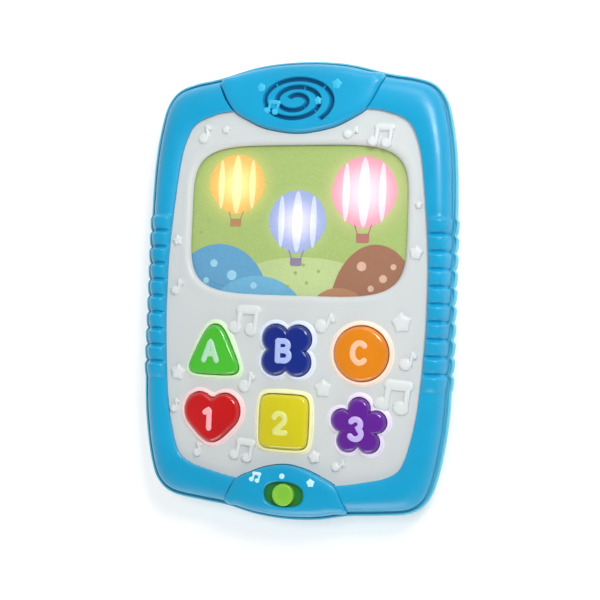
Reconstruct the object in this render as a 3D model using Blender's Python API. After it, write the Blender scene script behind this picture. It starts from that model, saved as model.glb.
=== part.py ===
"""Toy learning tablet as an assembly, lying on its back: +Y to the speaker end, +Z out of the front."""

import math

import bmesh
import bpy
import numpy as np

# Sizes below are in millimetres
MM = 0.001

# Clearance between neighbouring pieces
GAP = 0.3

# Case outline: half width between ribs, reach of the two ends from the centre
HALF_WIDTH = 78.0
TOP_REACH = 115.6
BOTTOM_REACH = 112.3
OUTLINE_SHAPE = (
    (0.000, 1.000), (0.282, 0.986), (0.558, 0.939), (0.731, 0.917), (0.846, 0.889),
    (0.913, 0.835), (0.949, 0.753), (0.983, 0.606), (0.999, 0.389), (1.000, 0.000),
    (0.997, -0.445), (0.969, -0.659), (0.926, -0.806), (0.877, -0.883), (0.782, -0.929),
    (0.590, -0.948), (0.397, -0.962), (0.205, -0.990), (0.000, -1.000),
)

# Inner edge of the blue frame, where the white face shows
BAND_SIDE = 10.3
BAND_TOP = 22.0
BAND_BOTTOM = 15.7
FACE_HALF_WIDTH = HALF_WIDTH - BAND_SIDE
FACE_TOP_REACH = TOP_REACH - BAND_TOP
FACE_BOTTOM_REACH = BOTTOM_REACH - BAND_BOTTOM
FACE_SHAPE = (
    (0.000, 1.000), (0.517, 0.983), (0.680, 0.962), (0.817, 0.915), (0.886, 0.828),
    (0.928, 0.705), (0.963, 0.491), (0.993, 0.224), (1.000, 0.000), (0.994, -0.228),
    (0.960, -0.559), (0.908, -0.756), (0.849, -0.870), (0.753, -0.921), (0.613, -0.950),
    (0.372, -0.983), (0.000, -1.000),
)

# Raised end panels: depth from the case end
SPEAKER_PANEL_DEPTH = 35.2
SPEAKER_PANEL_INNER_Y = TOP_REACH - SPEAKER_PANEL_DEPTH
SWITCH_PANEL_DEPTH = 25.9
SWITCH_PANEL_INNER_Y = SWITCH_PANEL_DEPTH - BOTTOM_REACH

# Button rows and columns, set from the switch panel and the face edge
LOWER_ROW_ROOM = 21.4
ROW_SPACING = 35.8
COLUMN_ROOM = 29.5
LOWER_ROW_Y = SWITCH_PANEL_INNER_Y + LOWER_ROW_ROOM
UPPER_ROW_Y = LOWER_ROW_Y + ROW_SPACING
COLUMN_SPACING = FACE_HALF_WIDTH - COLUMN_ROOM
MIDDLE_COLUMN_X = -1.8

# Screen window, in the room between the upper buttons and the speaker panel
SCREEN_SIDE_ROOM = 11.2
SCREEN_TOP_ROOM = 5.5
SCREEN_BOTTOM_ROOM = 25.7
SCREEN_SQUARENESS = 4.8
SCREEN_HALF_WIDTH = FACE_HALF_WIDTH - SCREEN_SIDE_ROOM
SCREEN_TOP_Y = SPEAKER_PANEL_INNER_Y - SCREEN_TOP_ROOM
SCREEN_BOTTOM_Y = UPPER_ROW_Y + SCREEN_BOTTOM_ROOM
SCREEN_HALF_HEIGHT = (SCREEN_TOP_Y - SCREEN_BOTTOM_Y) / 2
SCREEN_Y = (SCREEN_TOP_Y + SCREEN_BOTTOM_Y) / 2

# Grip ribs on both sides
RIB_COUNT = 10
RIB_PITCH = 8.5
RIB_TOP_Y = 38.8
RIB_HEIGHT = 1.2

# Rear case
REAR_HEIGHT = 22.0
REAR_ROUND = 6.0
RIM_OUT = 2.4
RIM_LEDGE = 2.4
WALL = 2.2

# Battery bay: two round cells, along X
CELL_DIAMETER = 14.5
CELL_LENGTH = 50.5
CELL_NUB_RADIUS = 2.7
CELL_NUB_LENGTH = 1.4
BAY_Y = SCREEN_Y
BAY_WALL = 2.5
BAY_ROOF = 1.0
SPRING_LENGTH = 4.4
SPRING_RADIUS = 3.6
SPRING_WIRE = 0.45
CONTACT_THICKNESS = 0.4
CONTACT_HEIGHT = 9.0
CONTACT_WIDTH = 9.0
TAIL_WIDTH = 3.0
DOOR_THICKNESS = 2.4
DOOR_LEDGE = 0.9
DOOR_TAB = 10.0

# Screws
SHANK_RADIUS = 1.2
HEAD_RADIUS = 2.3
HEAD_HEIGHT = 1.2
BOSS_WALL = 1.2
CASE_SCREW_LENGTH = 20.0
CASE_SCREW_HEAD_Z = 5.3
BOARD_SCREW_LENGTH = 7.0
DOOR_SCREW_LENGTH = 8.0

# Front frame and face
FRAME_SIDE = 0.17
FRAME_SHELL = 2.2
LIP_RISE = 2.0
CROWN_RISE = 3.2
FACE_THICKNESS = 2.0
FACE_TUCK = 1.2

# What lies behind the screen opening
WINDOW_THICKNESS = 1.0
WINDOW_MARGIN = 2.0
CARD_THICKNESS = 0.3
LIGHT_BOX_FLOOR = 0.8
LIGHT_BOX_WALL = 1.2
LED_STRIP_THICKNESS = 0.4
LED_HEIGHT = 1.0
LED_SIDE = 5.0
LED_SPACING = 28.0
LED_STRIP_WIDTH = 7.0

# Buttons: half sizes and shapes
TRIANGLE_HALF = 14.2
QUATREFOIL_SPREAD = 8.0
QUATREFOIL_LOBE = 7.0
CIRCLE_RADIUS = 13.5
HEART_HALF = 14.7
SQUARE_HALF_WIDTH = 12.6
SQUARE_HALF_HEIGHT = 13.5
FLOWER_SPREAD = 8.6
FLOWER_LOBE = 5.5
TRIANGLE_SHAPE = (
    (0.00, 0.80), (0.20, 0.74), (0.40, 0.50), (0.62, 0.06), (0.86, -0.44),
    (0.94, -0.70), (0.84, -0.90), (0.55, -0.97), (0.00, -0.98),
)
HEART_SHAPE = (
    (0.00, 0.66), (0.24, 0.79), (0.54, 0.83), (0.85, 0.65), (1.00, 0.31),
    (0.93, -0.08), (0.65, -0.42), (0.30, -0.74), (0.00, -0.85),
)
BUTTON_RISE = 4.0
BUTTON_ROUND = 1.6
BUTTON_CLEARANCE = 0.5
BUTTON_FLANGE = 1.3
FLANGE_THICKNESS = 1.4
PLUNGER_RADIUS = 3.0
PLUNGER_LENGTH = 4.0
COLLAR_WIDTH = 1.4
COLLAR_HEIGHT = 1.5
DOME_RADIUS = 5.0
DOME_HEIGHT = 3.0

# Circuit board
BOARD_THICKNESS = 1.6
BOARD_SIDE_MARGIN = 11.8
BOARD_TOP_MARGIN = 15.2
BOARD_HALF_WIDTH = COLUMN_SPACING + BOARD_SIDE_MARGIN
BOARD_TOP_Y = UPPER_ROW_Y + BOARD_TOP_MARGIN
BOARD_END_ROOM = 16.3
BOARD_BOTTOM_Y = BOARD_END_ROOM - BOTTOM_REACH
BOARD_TONGUE_HALF = 16.0
BOARD_TONGUE_LENGTH = 9.5
BOARD_TONGUE_Y = BOARD_BOTTOM_Y - BOARD_TONGUE_LENGTH
BOARD_SCREW_INSET = 6.0
CHIP_SIDE = 12.0
CHIP_HEIGHT = 1.8

# Raised end panels: half width, seat, height above the face
PANEL_SEAT_DROP = 2.3
PANEL_RISE = 4.4
PANEL_LIP = 0.4
PANEL_SHELL = 2.2
SPEAKER_PANEL_HALF = 42.6
SPEAKER_PANEL_SHAPE = (
    (0.946, 0.294), (0.876, 0.481), (0.786, 0.626), (0.627, 0.765), (0.392, 0.914), (0.0, 1.0),
)
SWITCH_PANEL_HALF = 31.0
SWITCH_PANEL_SHAPE = ((0.948, 0.307), (0.826, 0.601), (0.594, 0.775), (0.323, 0.927), (0.0, 1.0))

# Loudspeaker and its spiral grille
SPEAKER_SETBACK = 18.4
SPEAKER_Y = TOP_REACH - SPEAKER_SETBACK
SPEAKER_RADIUS = 12.2
FLANGE_RING = 1.6
BASKET_DEPTH = 7.5
MAGNET_RADIUS = 8.0
MAGNET_HEIGHT = 5.5
GRILLE_SETBACK = 19.5
GRILLE_X = -1.5
GRILLE_Y = TOP_REACH - GRILLE_SETBACK
GRILLE_INNER = 2.9
GRILLE_HALF_WIDTH = 19.9
GRILLE_SQUASH = 0.62
GRILLE_TURNS = 2.64
GRILLE_SLOT = 1.5

# Mode slider and the switch under it
SLIDER_SETBACK = 11.4
SLIDER_Y = SLIDER_SETBACK - BOTTOM_REACH
SLOT_HALF_LENGTH = 10.0
SLOT_HALF_WIDTH = 6.0
KNOB_RADIUS = 5.5
KNOB_RISE = 0.9
SLIDER_TRAVEL = 4.2
SLIDER_PLATE_THICKNESS = 1.5
SLIDER_PLATE_HALF_WIDTH = 6.9
SWITCH_LENGTH = 16.0
SWITCH_WIDTH = 7.0
SWITCH_HEIGHT = 5.0
LEVER_LENGTH = 3.0
LEVER_WIDTH = 2.4
LEVER_HEIGHT = 3.6

# Leads
LEAD_RADIUS = 0.6
LEAD_SPACING = 2.6
LEAD_SIDE_INSET = 4.0
LEAD_SIDE_X = BOARD_HALF_WIDTH - LEAD_SIDE_INSET
LEAD_LOW_Z = 7.5
LEAD_LAND = 4.0

# Heights, from the rear face forwards
FLOOR = DOOR_THICKNESS + GAP
CELL_Z = FLOOR + CELL_DIAMETER / 2
BAY_CEILING = FLOOR + CELL_DIAMETER + GAP
BAY_TOP = BAY_CEILING + BAY_ROOF
BOX_Z = BAY_TOP + GAP
STRIP_Z = BOX_Z + LIGHT_BOX_FLOOR + GAP
LED_Z = STRIP_Z + LED_STRIP_THICKNESS + GAP
BOX_TOP = LED_Z + LED_HEIGHT + GAP
CARD_Z = BOX_TOP + GAP
WINDOW_Z = CARD_Z + CARD_THICKNESS + GAP
FACE_Z = WINDOW_Z + WINDOW_THICKNESS + GAP
FACE_TOP = FACE_Z + FACE_THICKNESS
COLLAR_TOP = FACE_TOP + COLLAR_HEIGHT
BUTTON_TOP = FACE_TOP + BUTTON_RISE
FLANGE_TOP = FACE_Z - GAP
FLANGE_Z = FLANGE_TOP - FLANGE_THICKNESS
PLUNGER_Z = FLANGE_Z - PLUNGER_LENGTH
DOME_TOP = PLUNGER_Z - GAP
DOME_Z = DOME_TOP - DOME_HEIGHT
BOARD_TOP = DOME_Z - GAP
BOARD_Z = BOARD_TOP - BOARD_THICKNESS
FRAME_Z = REAR_HEIGHT + GAP
LIP_TOP = FACE_TOP + LIP_RISE
CROWN = FACE_TOP + CROWN_RISE
SEAT_Z = FACE_TOP - PANEL_SEAT_DROP
PANEL_TOP = FACE_TOP + PANEL_RISE
PANEL_CEILING = PANEL_TOP - PANEL_SHELL

# Points along one side of the outline, above, along and below the ribs
POINTS_ABOVE = 17
POINTS_BELOW = 15
CURVE_STEP_COUNT = 24
BUTTON_POINTS = 40

blue = (0.03, 0.42, 0.75, 1.0)
pale_blue = (0.10, 0.50, 0.80, 1.0)
white = (0.78, 0.80, 0.81, 1.0)


def clear_scene():
    for obj in list(bpy.data.objects):
        bpy.data.objects.remove(obj, do_unlink=True)


def add_material(obj, colour, roughness=0.4, metallic=0.0):
    material = bpy.data.materials.new(obj.name + "_material")
    material.use_nodes = True
    shader = material.node_tree.nodes["Principled BSDF"]
    shader.inputs["Base Color"].default_value = colour
    shader.inputs["Roughness"].default_value = roughness
    shader.inputs["Metallic"].default_value = metallic
    material.diffuse_color = colour
    obj.data.materials.append(material)


def solid(name, points, faces, colour=None, roughness=0.4, metallic=0.0, origin=(0, 0, 0)):
    """A closed mesh with faces turned outwards; without a colour it is a hidden tool for a cut or a join."""
    base = np.asarray(origin, float)
    mesh = bpy.data.meshes.new(name)
    mesh.from_pydata([tuple((np.asarray(p) - base) * MM) for p in points], [], faces)
    shape = bmesh.new()
    shape.from_mesh(mesh)
    bmesh.ops.recalc_face_normals(shape, faces=shape.faces)
    shape.to_mesh(mesh)
    shape.free()
    obj = bpy.data.objects.new(name, mesh)
    obj.location = tuple(base * MM)
    bpy.context.scene.collection.objects.link(obj)
    if colour is None:
        obj.hide_render = True
        obj.display_type = "WIRE"
    else:
        add_material(obj, colour, roughness, metallic)
    return obj


def loft_faces(loop_count, size, closed, first=0):
    """Faces that bridge stacked loops; closed joins the last to the first, else both ends are capped."""
    faces = []
    spans = loop_count if closed else loop_count - 1
    for row in range(spans):
        low = first + row * size
        high = first + ((row + 1) % loop_count) * size
        for k in range(size):
            j = (k + 1) % size
            faces.append((low + k, low + j, high + j, high + k))
    if not closed:
        faces.append(tuple(first + k for k in range(size)))
        faces.append(tuple(first + (loop_count - 1) * size + k for k in range(size)))
    return faces


def stack(loops):
    """Points and loop size of (plan loop, height) pairs."""
    points = [(p[0], p[1], z) for loop, z in loops for p in loop]
    return points, len(loops[0][0])


def loft(name, loops, colour=None, closed=False, **options):
    points, size = stack(loops)
    return solid(name, points, loft_faces(len(loops), size, closed), colour, **options)


def tools(name, lofts):
    """One hidden object that holds several separate closed shapes."""
    points = []
    faces = []
    for loops in lofts:
        more, size = stack(loops)
        faces += loft_faces(len(loops), size, False, len(points))
        points += more
    return solid(name, points, faces)


def boolean(target, tool, operation):
    modifier = target.modifiers.new(tool.name, "BOOLEAN")
    modifier.operation = operation
    modifier.solver = "EXACT"
    modifier.object = tool


def catmull_rom(points, closed, steps):
    """Smooth curve through the points."""
    count = len(points)
    spans = count if closed else count - 1
    curve = []
    for k in range(spans):
        if closed:
            before, start, end, after = (points[(k + d) % count] for d in (-1, 0, 1, 2))
        else:
            start, end = points[k], points[k + 1]
            before = points[k - 1] if k else points[1] * np.array([-1.0, 1.0])
            after = points[k + 2] if k + 2 < count else points[-2] * np.array([-1.0, 1.0])
        for step in range(steps):
            t = step / steps
            curve.append(0.5 * (
                2 * start + (end - before) * t + (2 * before - 5 * start + 4 * end - after) * t ** 2
                + (3 * start - before - 3 * end + after) * t ** 3
            ))
    if not closed:
        curve.append(points[-1])
    return np.array(curve)


def arc_length(curve):
    return np.concatenate([[0.0], np.cumsum(np.linalg.norm(np.diff(curve, axis=0), axis=1))])


def at_arc(curve, places):
    along = arc_length(curve)
    return np.stack([np.interp(places, along, curve[:, 0]), np.interp(places, along, curve[:, 1])], axis=1)


def right_half(shape, half_width, top, bottom):
    """Right half of a mirrored outline, from its top centre to its bottom centre."""
    points = np.array([(x * half_width, y * (top if y > 0 else bottom)) for x, y in shape])
    return catmull_rom(points, False, CURVE_STEP_COUNT)


def mirrored(half):
    """Whole loop from a right half that starts and ends on the centre line."""
    left = half[-2:0:-1] * np.array([-1.0, 1.0])
    return np.concatenate([half, left])


def outward(half):
    """Unit normals of a right half, pointing away from the middle."""
    whole = mirrored(half)
    along = np.roll(whole, -1, axis=0) - np.roll(whole, 1, axis=0)
    normal = np.stack([-along[:, 1], along[:, 0]], axis=1)
    normal /= np.linalg.norm(normal, axis=1)[:, None]
    return normal[: len(half)]


class Outline:
    """Matching points on the case outline and on the face edge, with ribs on the sides."""

    def __init__(self):
        outer = right_half(OUTLINE_SHAPE, HALF_WIDTH, TOP_REACH, BOTTOM_REACH)
        inner = right_half(FACE_SHAPE, FACE_HALF_WIDTH, FACE_TOP_REACH, FACE_BOTTOM_REACH)
        rib_ys = []
        rib_weights = []
        for k in range(RIB_COUNT):
            for share, weight in ((0.0, 0.0), (0.22, 1.0), (0.78, 1.0)):
                rib_ys.append(RIB_TOP_Y - (k + share) * RIB_PITCH)
                rib_weights.append(weight)
        rib_ys.append(RIB_TOP_Y - RIB_COUNT * RIB_PITCH)
        rib_weights.append(0.0)
        self.outer, self.weights = self.sample(outer, rib_ys, rib_weights)
        self.inner, _ = self.sample(inner, rib_ys, rib_weights)
        self.normals = outward(self.outer)
        self.face_normals = outward(self.inner)
        self.curve = outer

    def sample(self, curve, rib_ys, rib_weights):
        along = arc_length(curve)
        rib_places = np.interp(-np.array(rib_ys), -curve[:, 1], along)
        above = np.linspace(0.0, rib_places[0], POINTS_ABOVE + 1)[:-1]
        below = np.linspace(rib_places[-1], along[-1], POINTS_BELOW + 1)[1:]
        places = np.concatenate([above, rib_places, below])
        weights = np.concatenate([np.zeros(POINTS_ABOVE), rib_weights, np.zeros(POINTS_BELOW)])
        return at_arc(curve, places), weights

    def out(self, offset, rib=0.0):
        shift = offset + rib * RIB_HEIGHT * self.weights
        return mirrored(self.outer + self.normals * shift[:, None])

    def face(self, offset):
        return mirrored(self.inner + self.face_normals * offset)

    def between(self, share, rib=0.0):
        shift = rib * RIB_HEIGHT * self.weights
        outer = self.outer + self.normals * shift[:, None]
        return mirrored(outer * (1 - share) + self.inner * share)


def circle(radius, centre=(0.0, 0.0), count=24):
    turn = np.arange(count) * 2 * math.pi / count
    return np.stack([centre[0] + radius * np.cos(turn), centre[1] + radius * np.sin(turn)], axis=1)


def rectangle(half_x, half_y, centre=(0.0, 0.0)):
    corners = ((1, -1), (1, 1), (-1, 1), (-1, -1))
    return np.array([(centre[0] + sx * half_x, centre[1] + sy * half_y) for sx, sy in corners])


def rounded(half_x, half_y, centre, squareness, count):
    """Superellipse: a rectangle with soft corners."""
    turn = np.arange(count) * 2 * math.pi / count
    c, s = np.cos(turn), np.sin(turn)
    x = centre[0] + half_x * np.sign(c) * np.abs(c) ** (2 / squareness)
    y = centre[1] + half_y * np.sign(s) * np.abs(s) ** (2 / squareness)
    return np.stack([x, y], axis=1)


def box(half_x, half_y, low, high, centre):
    loop = rectangle(half_x, half_y, centre)
    return [(loop, low), (loop, high)]


def cylinder(radius, low, high, centre, count=16):
    loop = circle(radius, centre, count)
    return [(loop, low), (loop, high)]


def screen_loop(margin):
    half_x, half_y = SCREEN_HALF_WIDTH + margin, SCREEN_HALF_HEIGHT + margin
    return rounded(half_x, half_y, (0.0, SCREEN_Y), SCREEN_SQUARENESS, 48)


def polar_loop(radius_at):
    turn = np.arange(BUTTON_POINTS) * 2 * math.pi / BUTTON_POINTS
    radius = np.array([radius_at(angle) for angle in turn])
    return np.stack([radius * np.cos(turn), radius * np.sin(turn)], axis=1)


def lobed_loop(count, spread, lobe, first_turn):
    """Ring of round lobes that meet in notches."""
    step = 2 * math.pi / count

    def reach(angle):
        away = (angle - first_turn + step / 2) % step - step / 2
        return spread * math.cos(away) + math.sqrt(lobe ** 2 - (spread * math.sin(away)) ** 2)

    return polar_loop(reach)


def drawn_loop(shape, half):
    """Loop through a drawn right half, sampled at even angles round its centre."""
    curve = mirrored(catmull_rom(np.array(shape) * half, False, CURVE_STEP_COUNT))
    angle = np.unwrap(np.arctan2(curve[:, 1], curve[:, 0]))
    radius = np.linalg.norm(curve, axis=1)
    order = np.argsort(angle % (2 * math.pi))
    turns = (angle % (2 * math.pi))[order]
    reach = radius[order]
    return polar_loop(lambda a: float(np.interp(a, turns, reach, period=2 * math.pi)))


def square_loop():
    curve = rounded(SQUARE_HALF_WIDTH, SQUARE_HALF_HEIGHT, (0.0, 0.0), 6.0, 360)
    angle = np.arctan2(curve[:, 1], curve[:, 0]) % (2 * math.pi)
    order = np.argsort(angle)
    reach = np.linalg.norm(curve, axis=1)[order]
    return polar_loop(lambda a: float(np.interp(a, angle[order], reach, period=2 * math.pi)))


def grown(loop, margin):
    """Loop round its own origin, grown outwards along its radii."""
    radius = np.linalg.norm(loop, axis=1)
    return loop * (1 + margin / radius)[:, None]


def button_table():
    """Name, loop, centre and colour of each button."""
    left = MIDDLE_COLUMN_X - COLUMN_SPACING
    right = MIDDLE_COLUMN_X + COLUMN_SPACING
    return (
        ("button_a", drawn_loop(TRIANGLE_SHAPE, TRIANGLE_HALF), (left, UPPER_ROW_Y), (0.10, 0.55, 0.05, 1)),
        ("button_b", lobed_loop(4, QUATREFOIL_SPREAD, QUATREFOIL_LOBE, math.pi / 4),
         (MIDDLE_COLUMN_X, UPPER_ROW_Y), (0.01, 0.03, 0.32, 1)),
        ("button_c", polar_loop(lambda a: CIRCLE_RADIUS), (right, UPPER_ROW_Y), (0.85, 0.22, 0.01, 1)),
        ("button_1", drawn_loop(HEART_SHAPE, HEART_HALF), (left, LOWER_ROW_Y), (0.65, 0.01, 0.01, 1)),
        ("button_2", square_loop(), (MIDDLE_COLUMN_X, LOWER_ROW_Y), (0.75, 0.60, 0.02, 1)),
        ("button_3", lobed_loop(5, FLOWER_SPREAD, FLOWER_LOBE, math.pi / 2),
         (right, LOWER_ROW_Y), (0.15, 0.02, 0.32, 1)),
    )


def screw_places(outline):
    """Case screws, in the middle of the frame's hollow band: corners and mid sides."""
    band = outline.between(0.58)
    half = band[: len(outline.outer)]
    along = arc_length(half)
    top = half[np.argmax(half[:, 0] + half[:, 1])]
    side = at_arc(half, [np.interp(0.0, -half[:, 1], along)])[0]
    bottom = half[np.argmax(half[:, 0] - half[:, 1])]
    places = []
    for name, spot in (("top", top), ("side", side), ("bottom", bottom)):
        places.append((name + "_right", (spot[0], spot[1])))
        places.append((name + "_left", (-spot[0], spot[1])))
    return places


def board_screw_places():
    x = BOARD_HALF_WIDTH - BOARD_SCREW_INSET
    ys = (BOARD_TOP_Y - BOARD_SCREW_INSET, BOARD_BOTTOM_Y + BOARD_SCREW_INSET)
    return [(side * x, y) for side in (-1, 1) for y in ys]


def bay_sizes():
    """Half length between the contact faces, pocket half sizes, and the door's plan box."""
    face = (CELL_LENGTH + SPRING_LENGTH + 3 * GAP) / 2
    pocket_x = face + CONTACT_THICKNESS + GAP
    cell_shift = CELL_DIAMETER / 2 + GAP / 2
    pocket_y = cell_shift + CELL_DIAMETER / 2 + GAP
    door_low = BAY_Y - pocket_y - DOOR_LEDGE
    door_high = BAY_Y + pocket_y + DOOR_LEDGE + DOOR_TAB
    return face, pocket_x, pocket_y, cell_shift, door_low, door_high


def door_screw_place():
    _, _, _, _, _, door_high = bay_sizes()
    return (0.0, door_high - DOOR_TAB / 2)


def make_rear_case(outline):
    outer = (
        (-REAR_ROUND, 0.0, 0.0), (-0.6 * REAR_ROUND, 0.05, 0.0), (-0.2 * REAR_ROUND, 0.16, 0.3),
        (0.25 * RIM_OUT, 0.34, 0.7), (0.8 * RIM_OUT, 0.6, 1.0), (RIM_OUT, 0.82, 1.0),
        (0.85 * RIM_OUT, 1.0, 1.0),
    )
    loops = [(outline.out(offset, rib), share * REAR_HEIGHT) for offset, share, rib in outer]
    loops.append((outline.out(-RIM_LEDGE), REAR_HEIGHT))
    loops.append((outline.out(-RIM_LEDGE), 0.5 * REAR_HEIGHT))
    loops.append((outline.out(-0.2 * REAR_ROUND - WALL), 0.34 * REAR_HEIGHT))
    loops.append((outline.out(-0.6 * REAR_ROUND - WALL), FLOOR))
    case = loft("rear_case", loops, pale_blue)

    _, pocket_x, pocket_y, _, door_low, door_high = bay_sizes()
    low = BAY_Y - pocket_y - BAY_WALL
    high = door_high + BAY_WALL - DOOR_LEDGE
    bay = box(pocket_x + BAY_WALL, (high - low) / 2, FLOOR / 2, BAY_TOP, (0.0, (low + high) / 2))
    boss_radius = SHANK_RADIUS + GAP + BOSS_WALL
    case_boss_radius = HEAD_RADIUS + GAP + BOSS_WALL
    joined = [bay]
    joined += [cylinder(boss_radius, FLOOR / 2, BOARD_Z - GAP, place) for place in board_screw_places()]
    for _, place in screw_places(outline):
        joined.append(cylinder(case_boss_radius, FLOOR / 2, REAR_HEIGHT, place))
    boolean(case, tools("case_bosses", joined), "UNION")

    pocket = box(pocket_x, pocket_y, FLOOR / 2, BAY_CEILING, (0.0, BAY_Y))
    holes = [pocket]
    shoulder = CASE_SCREW_HEAD_Z + HEAD_HEIGHT + GAP
    for _, place in screw_places(outline):
        wide = circle(HEAD_RADIUS + GAP, place, 16)
        narrow = circle(SHANK_RADIUS + GAP, place, 16)
        holes.append([(wide, -1.0), (wide, shoulder), (narrow, shoulder), (narrow, REAR_HEIGHT + 1.0)])
    pilot_low = BOARD_TOP + GAP - BOARD_SCREW_LENGTH - GAP
    holes += [cylinder(SHANK_RADIUS + GAP, pilot_low, BOARD_Z + 1.0, place) for place in board_screw_places()]
    place = door_screw_place()
    holes.append(cylinder(SHANK_RADIUS + GAP, FLOOR / 2, HEAD_HEIGHT + DOOR_SCREW_LENGTH + 2 * GAP, place))
    boolean(case, tools("case_holes", holes), "DIFFERENCE")

    recess = box(pocket_x + DOOR_LEDGE + GAP, (door_high - door_low) / 2 + GAP, -1.0, FLOOR,
                 (0.0, (door_low + door_high) / 2))
    boolean(case, tools("door_recess", [recess]), "DIFFERENCE")
    tail_slots = []
    for side in (-1, 1):
        y = BAY_Y + side * bay_sizes()[3]
        tail_slots.append(box(BAY_WALL, TAIL_WIDTH / 2 + GAP, CELL_Z - 2 * GAP - 0.4, CELL_Z + 2 * GAP + 0.4,
                              (pocket_x + BAY_WALL / 2, y)))
    boolean(case, tools("tail_slots", tail_slots), "DIFFERENCE")


def make_front_frame(outline, panel_cutters):
    rise = CROWN - FRAME_Z
    under = FACE_TOP + GAP
    loops = [
        (outline.between(0.0, 1.0), FRAME_Z),
        (outline.between(0.0, 1.0), FRAME_Z + 0.20 * rise),
        (outline.between(0.04, 1.0), FRAME_Z + 0.50 * rise),
        (outline.between(0.13, 0.9), FRAME_Z + 0.77 * rise),
        (outline.between(0.26, 0.7), FRAME_Z + 0.94 * rise),
        (outline.between(0.45, 0.6), CROWN),
        (outline.between(0.80, 0.4), CROWN - 0.3 * (CROWN - LIP_TOP)),
        (outline.between(1.00, 0.0), LIP_TOP),
        (outline.between(1.00, 0.0), under),
        (outline.between(0.72, 0.0), under),
        (outline.between(0.45, 0.0), CROWN - FRAME_SHELL),
        (outline.between(0.26, 0.0), FRAME_Z + 0.70 * rise),
        (outline.between(FRAME_SIDE, 0.0), FRAME_Z + 0.45 * rise),
        (outline.between(FRAME_SIDE, 0.0), FRAME_Z),
    ]
    frame = loft("front_frame", loops, blue, closed=True)
    radius = SHANK_RADIUS + GAP + BOSS_WALL
    places = [place for _, place in screw_places(outline)]
    bosses = [cylinder(radius, FRAME_Z, CROWN - 0.5 * FRAME_SHELL, p) for p in places]
    boolean(frame, tools("frame_bosses", bosses), "UNION")
    tip = CASE_SCREW_HEAD_Z + HEAD_HEIGHT + CASE_SCREW_LENGTH
    pilots = [cylinder(SHANK_RADIUS + GAP, FRAME_Z - 1.0, tip + GAP, p) for p in places]
    boolean(frame, tools("frame_pilots", pilots), "DIFFERENCE")
    for cutter in panel_cutters:
        boolean(frame, cutter, "DIFFERENCE")


def panel_half(outline, half_width, inner_y, shape, sign):
    """Right half of an end panel: the case outline out to its corner, then its own inner arc."""
    curve = outline.curve if sign > 0 else outline.curve[::-1]
    corner = np.argmax(curve[:, 0] >= half_width)
    normal = outward(outline.curve)
    normal = normal if sign > 0 else normal[::-1]
    rows = np.linspace(0, corner, 6).astype(int)
    outer = curve[rows] + normal[rows] * PANEL_LIP
    outer[0, 0] = 0.0
    start_y = outer[-1, 1]
    inner = np.array([(x * half_width, start_y + y * (inner_y - start_y)) for x, y in shape])
    dense = catmull_rom(np.concatenate([outer, inner]), False, 12)
    along = arc_length(dense)
    return at_arc(dense, np.linspace(0, along[-1], 29))


def panel_loop(half, inset):
    """Panel outline, drawn in towards its middle by about the same amount all round."""
    low, high = half[:, 1].min(), half[:, 1].max()
    middle = np.array([0.0, (low + high) / 2])
    shrink = 1 - inset / np.array([half[:, 0].max(), (high - low) / 2])
    return mirrored(middle + (half - middle) * shrink)


def make_panel_cutter(name, half):
    loop = panel_loop(half, -GAP)
    return tools(name, [[(loop, SEAT_Z - GAP), (loop, PANEL_TOP + 5.0)]])


def make_panel(name, half):
    steps = (
        (0.0, SEAT_Z), (0.2, PANEL_TOP - 6.0), (0.8, PANEL_TOP - 3.6), (1.8, PANEL_TOP - 1.6),
        (3.2, PANEL_TOP - 0.5), (6.0, PANEL_TOP),
    )
    inner = ((4.0, PANEL_CEILING), (PANEL_SHELL, PANEL_CEILING - 1.5), (PANEL_SHELL, SEAT_Z))
    return loft(name, [(panel_loop(half, inset), z) for inset, z in inner + steps], blue)


def spiral_slots():
    """Slot shapes along a flattened spiral that winds out clockwise, broken by short bridges."""
    slots = []
    total = GRILLE_TURNS * 2 * math.pi
    pieces = 8
    bridge = 0.16
    edges = [total * (k / pieces) ** 0.75 for k in range(pieces + 1)]
    for start, end in zip(edges[:-1], edges[1:]):
        turns = np.linspace(start + bridge, end - bridge, 8)
        left = []
        right = []
        for turn in turns:
            radius = GRILLE_INNER + (GRILLE_HALF_WIDTH - GRILLE_INNER) * turn / total
            for side, line in ((0.5, left), (-0.5, right)):
                r = radius + side * GRILLE_SLOT
                line.append((GRILLE_X - r * math.cos(turn), GRILLE_Y + GRILLE_SQUASH * r * math.sin(turn)))
        loop = np.array(right + left[::-1])
        slots.append([(loop, PANEL_CEILING - 1.0), (loop, PANEL_TOP + 1.0)])
    return slots


def make_face(outline, buttons, panel_cutters):
    rim = outline.face(FACE_TUCK)
    face = loft("faceplate", [(rim, FACE_Z), (rim, FACE_TOP)], white)
    collars = []
    holes = []
    for _, loop, centre, _ in buttons:
        hole = grown(loop, BUTTON_CLEARANCE) + np.array(centre)
        collar = grown(loop, BUTTON_CLEARANCE + COLLAR_WIDTH) + np.array(centre)
        collars.append([(collar, FACE_Z + 0.5 * FACE_THICKNESS), (collar, COLLAR_TOP)])
        holes.append([(hole, FACE_Z - 1.0), (hole, COLLAR_TOP + 1.0)])
    holes.append([(screen_loop(-WINDOW_MARGIN), FACE_Z - 1.0), (screen_loop(-WINDOW_MARGIN), FACE_Z),
                  (screen_loop(0.5), FACE_TOP + 0.5)])
    boolean(face, tools("collars", collars), "UNION")
    boolean(face, tools("face_holes", holes), "DIFFERENCE")
    for cutter in panel_cutters:
        boolean(face, cutter, "DIFFERENCE")


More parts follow.
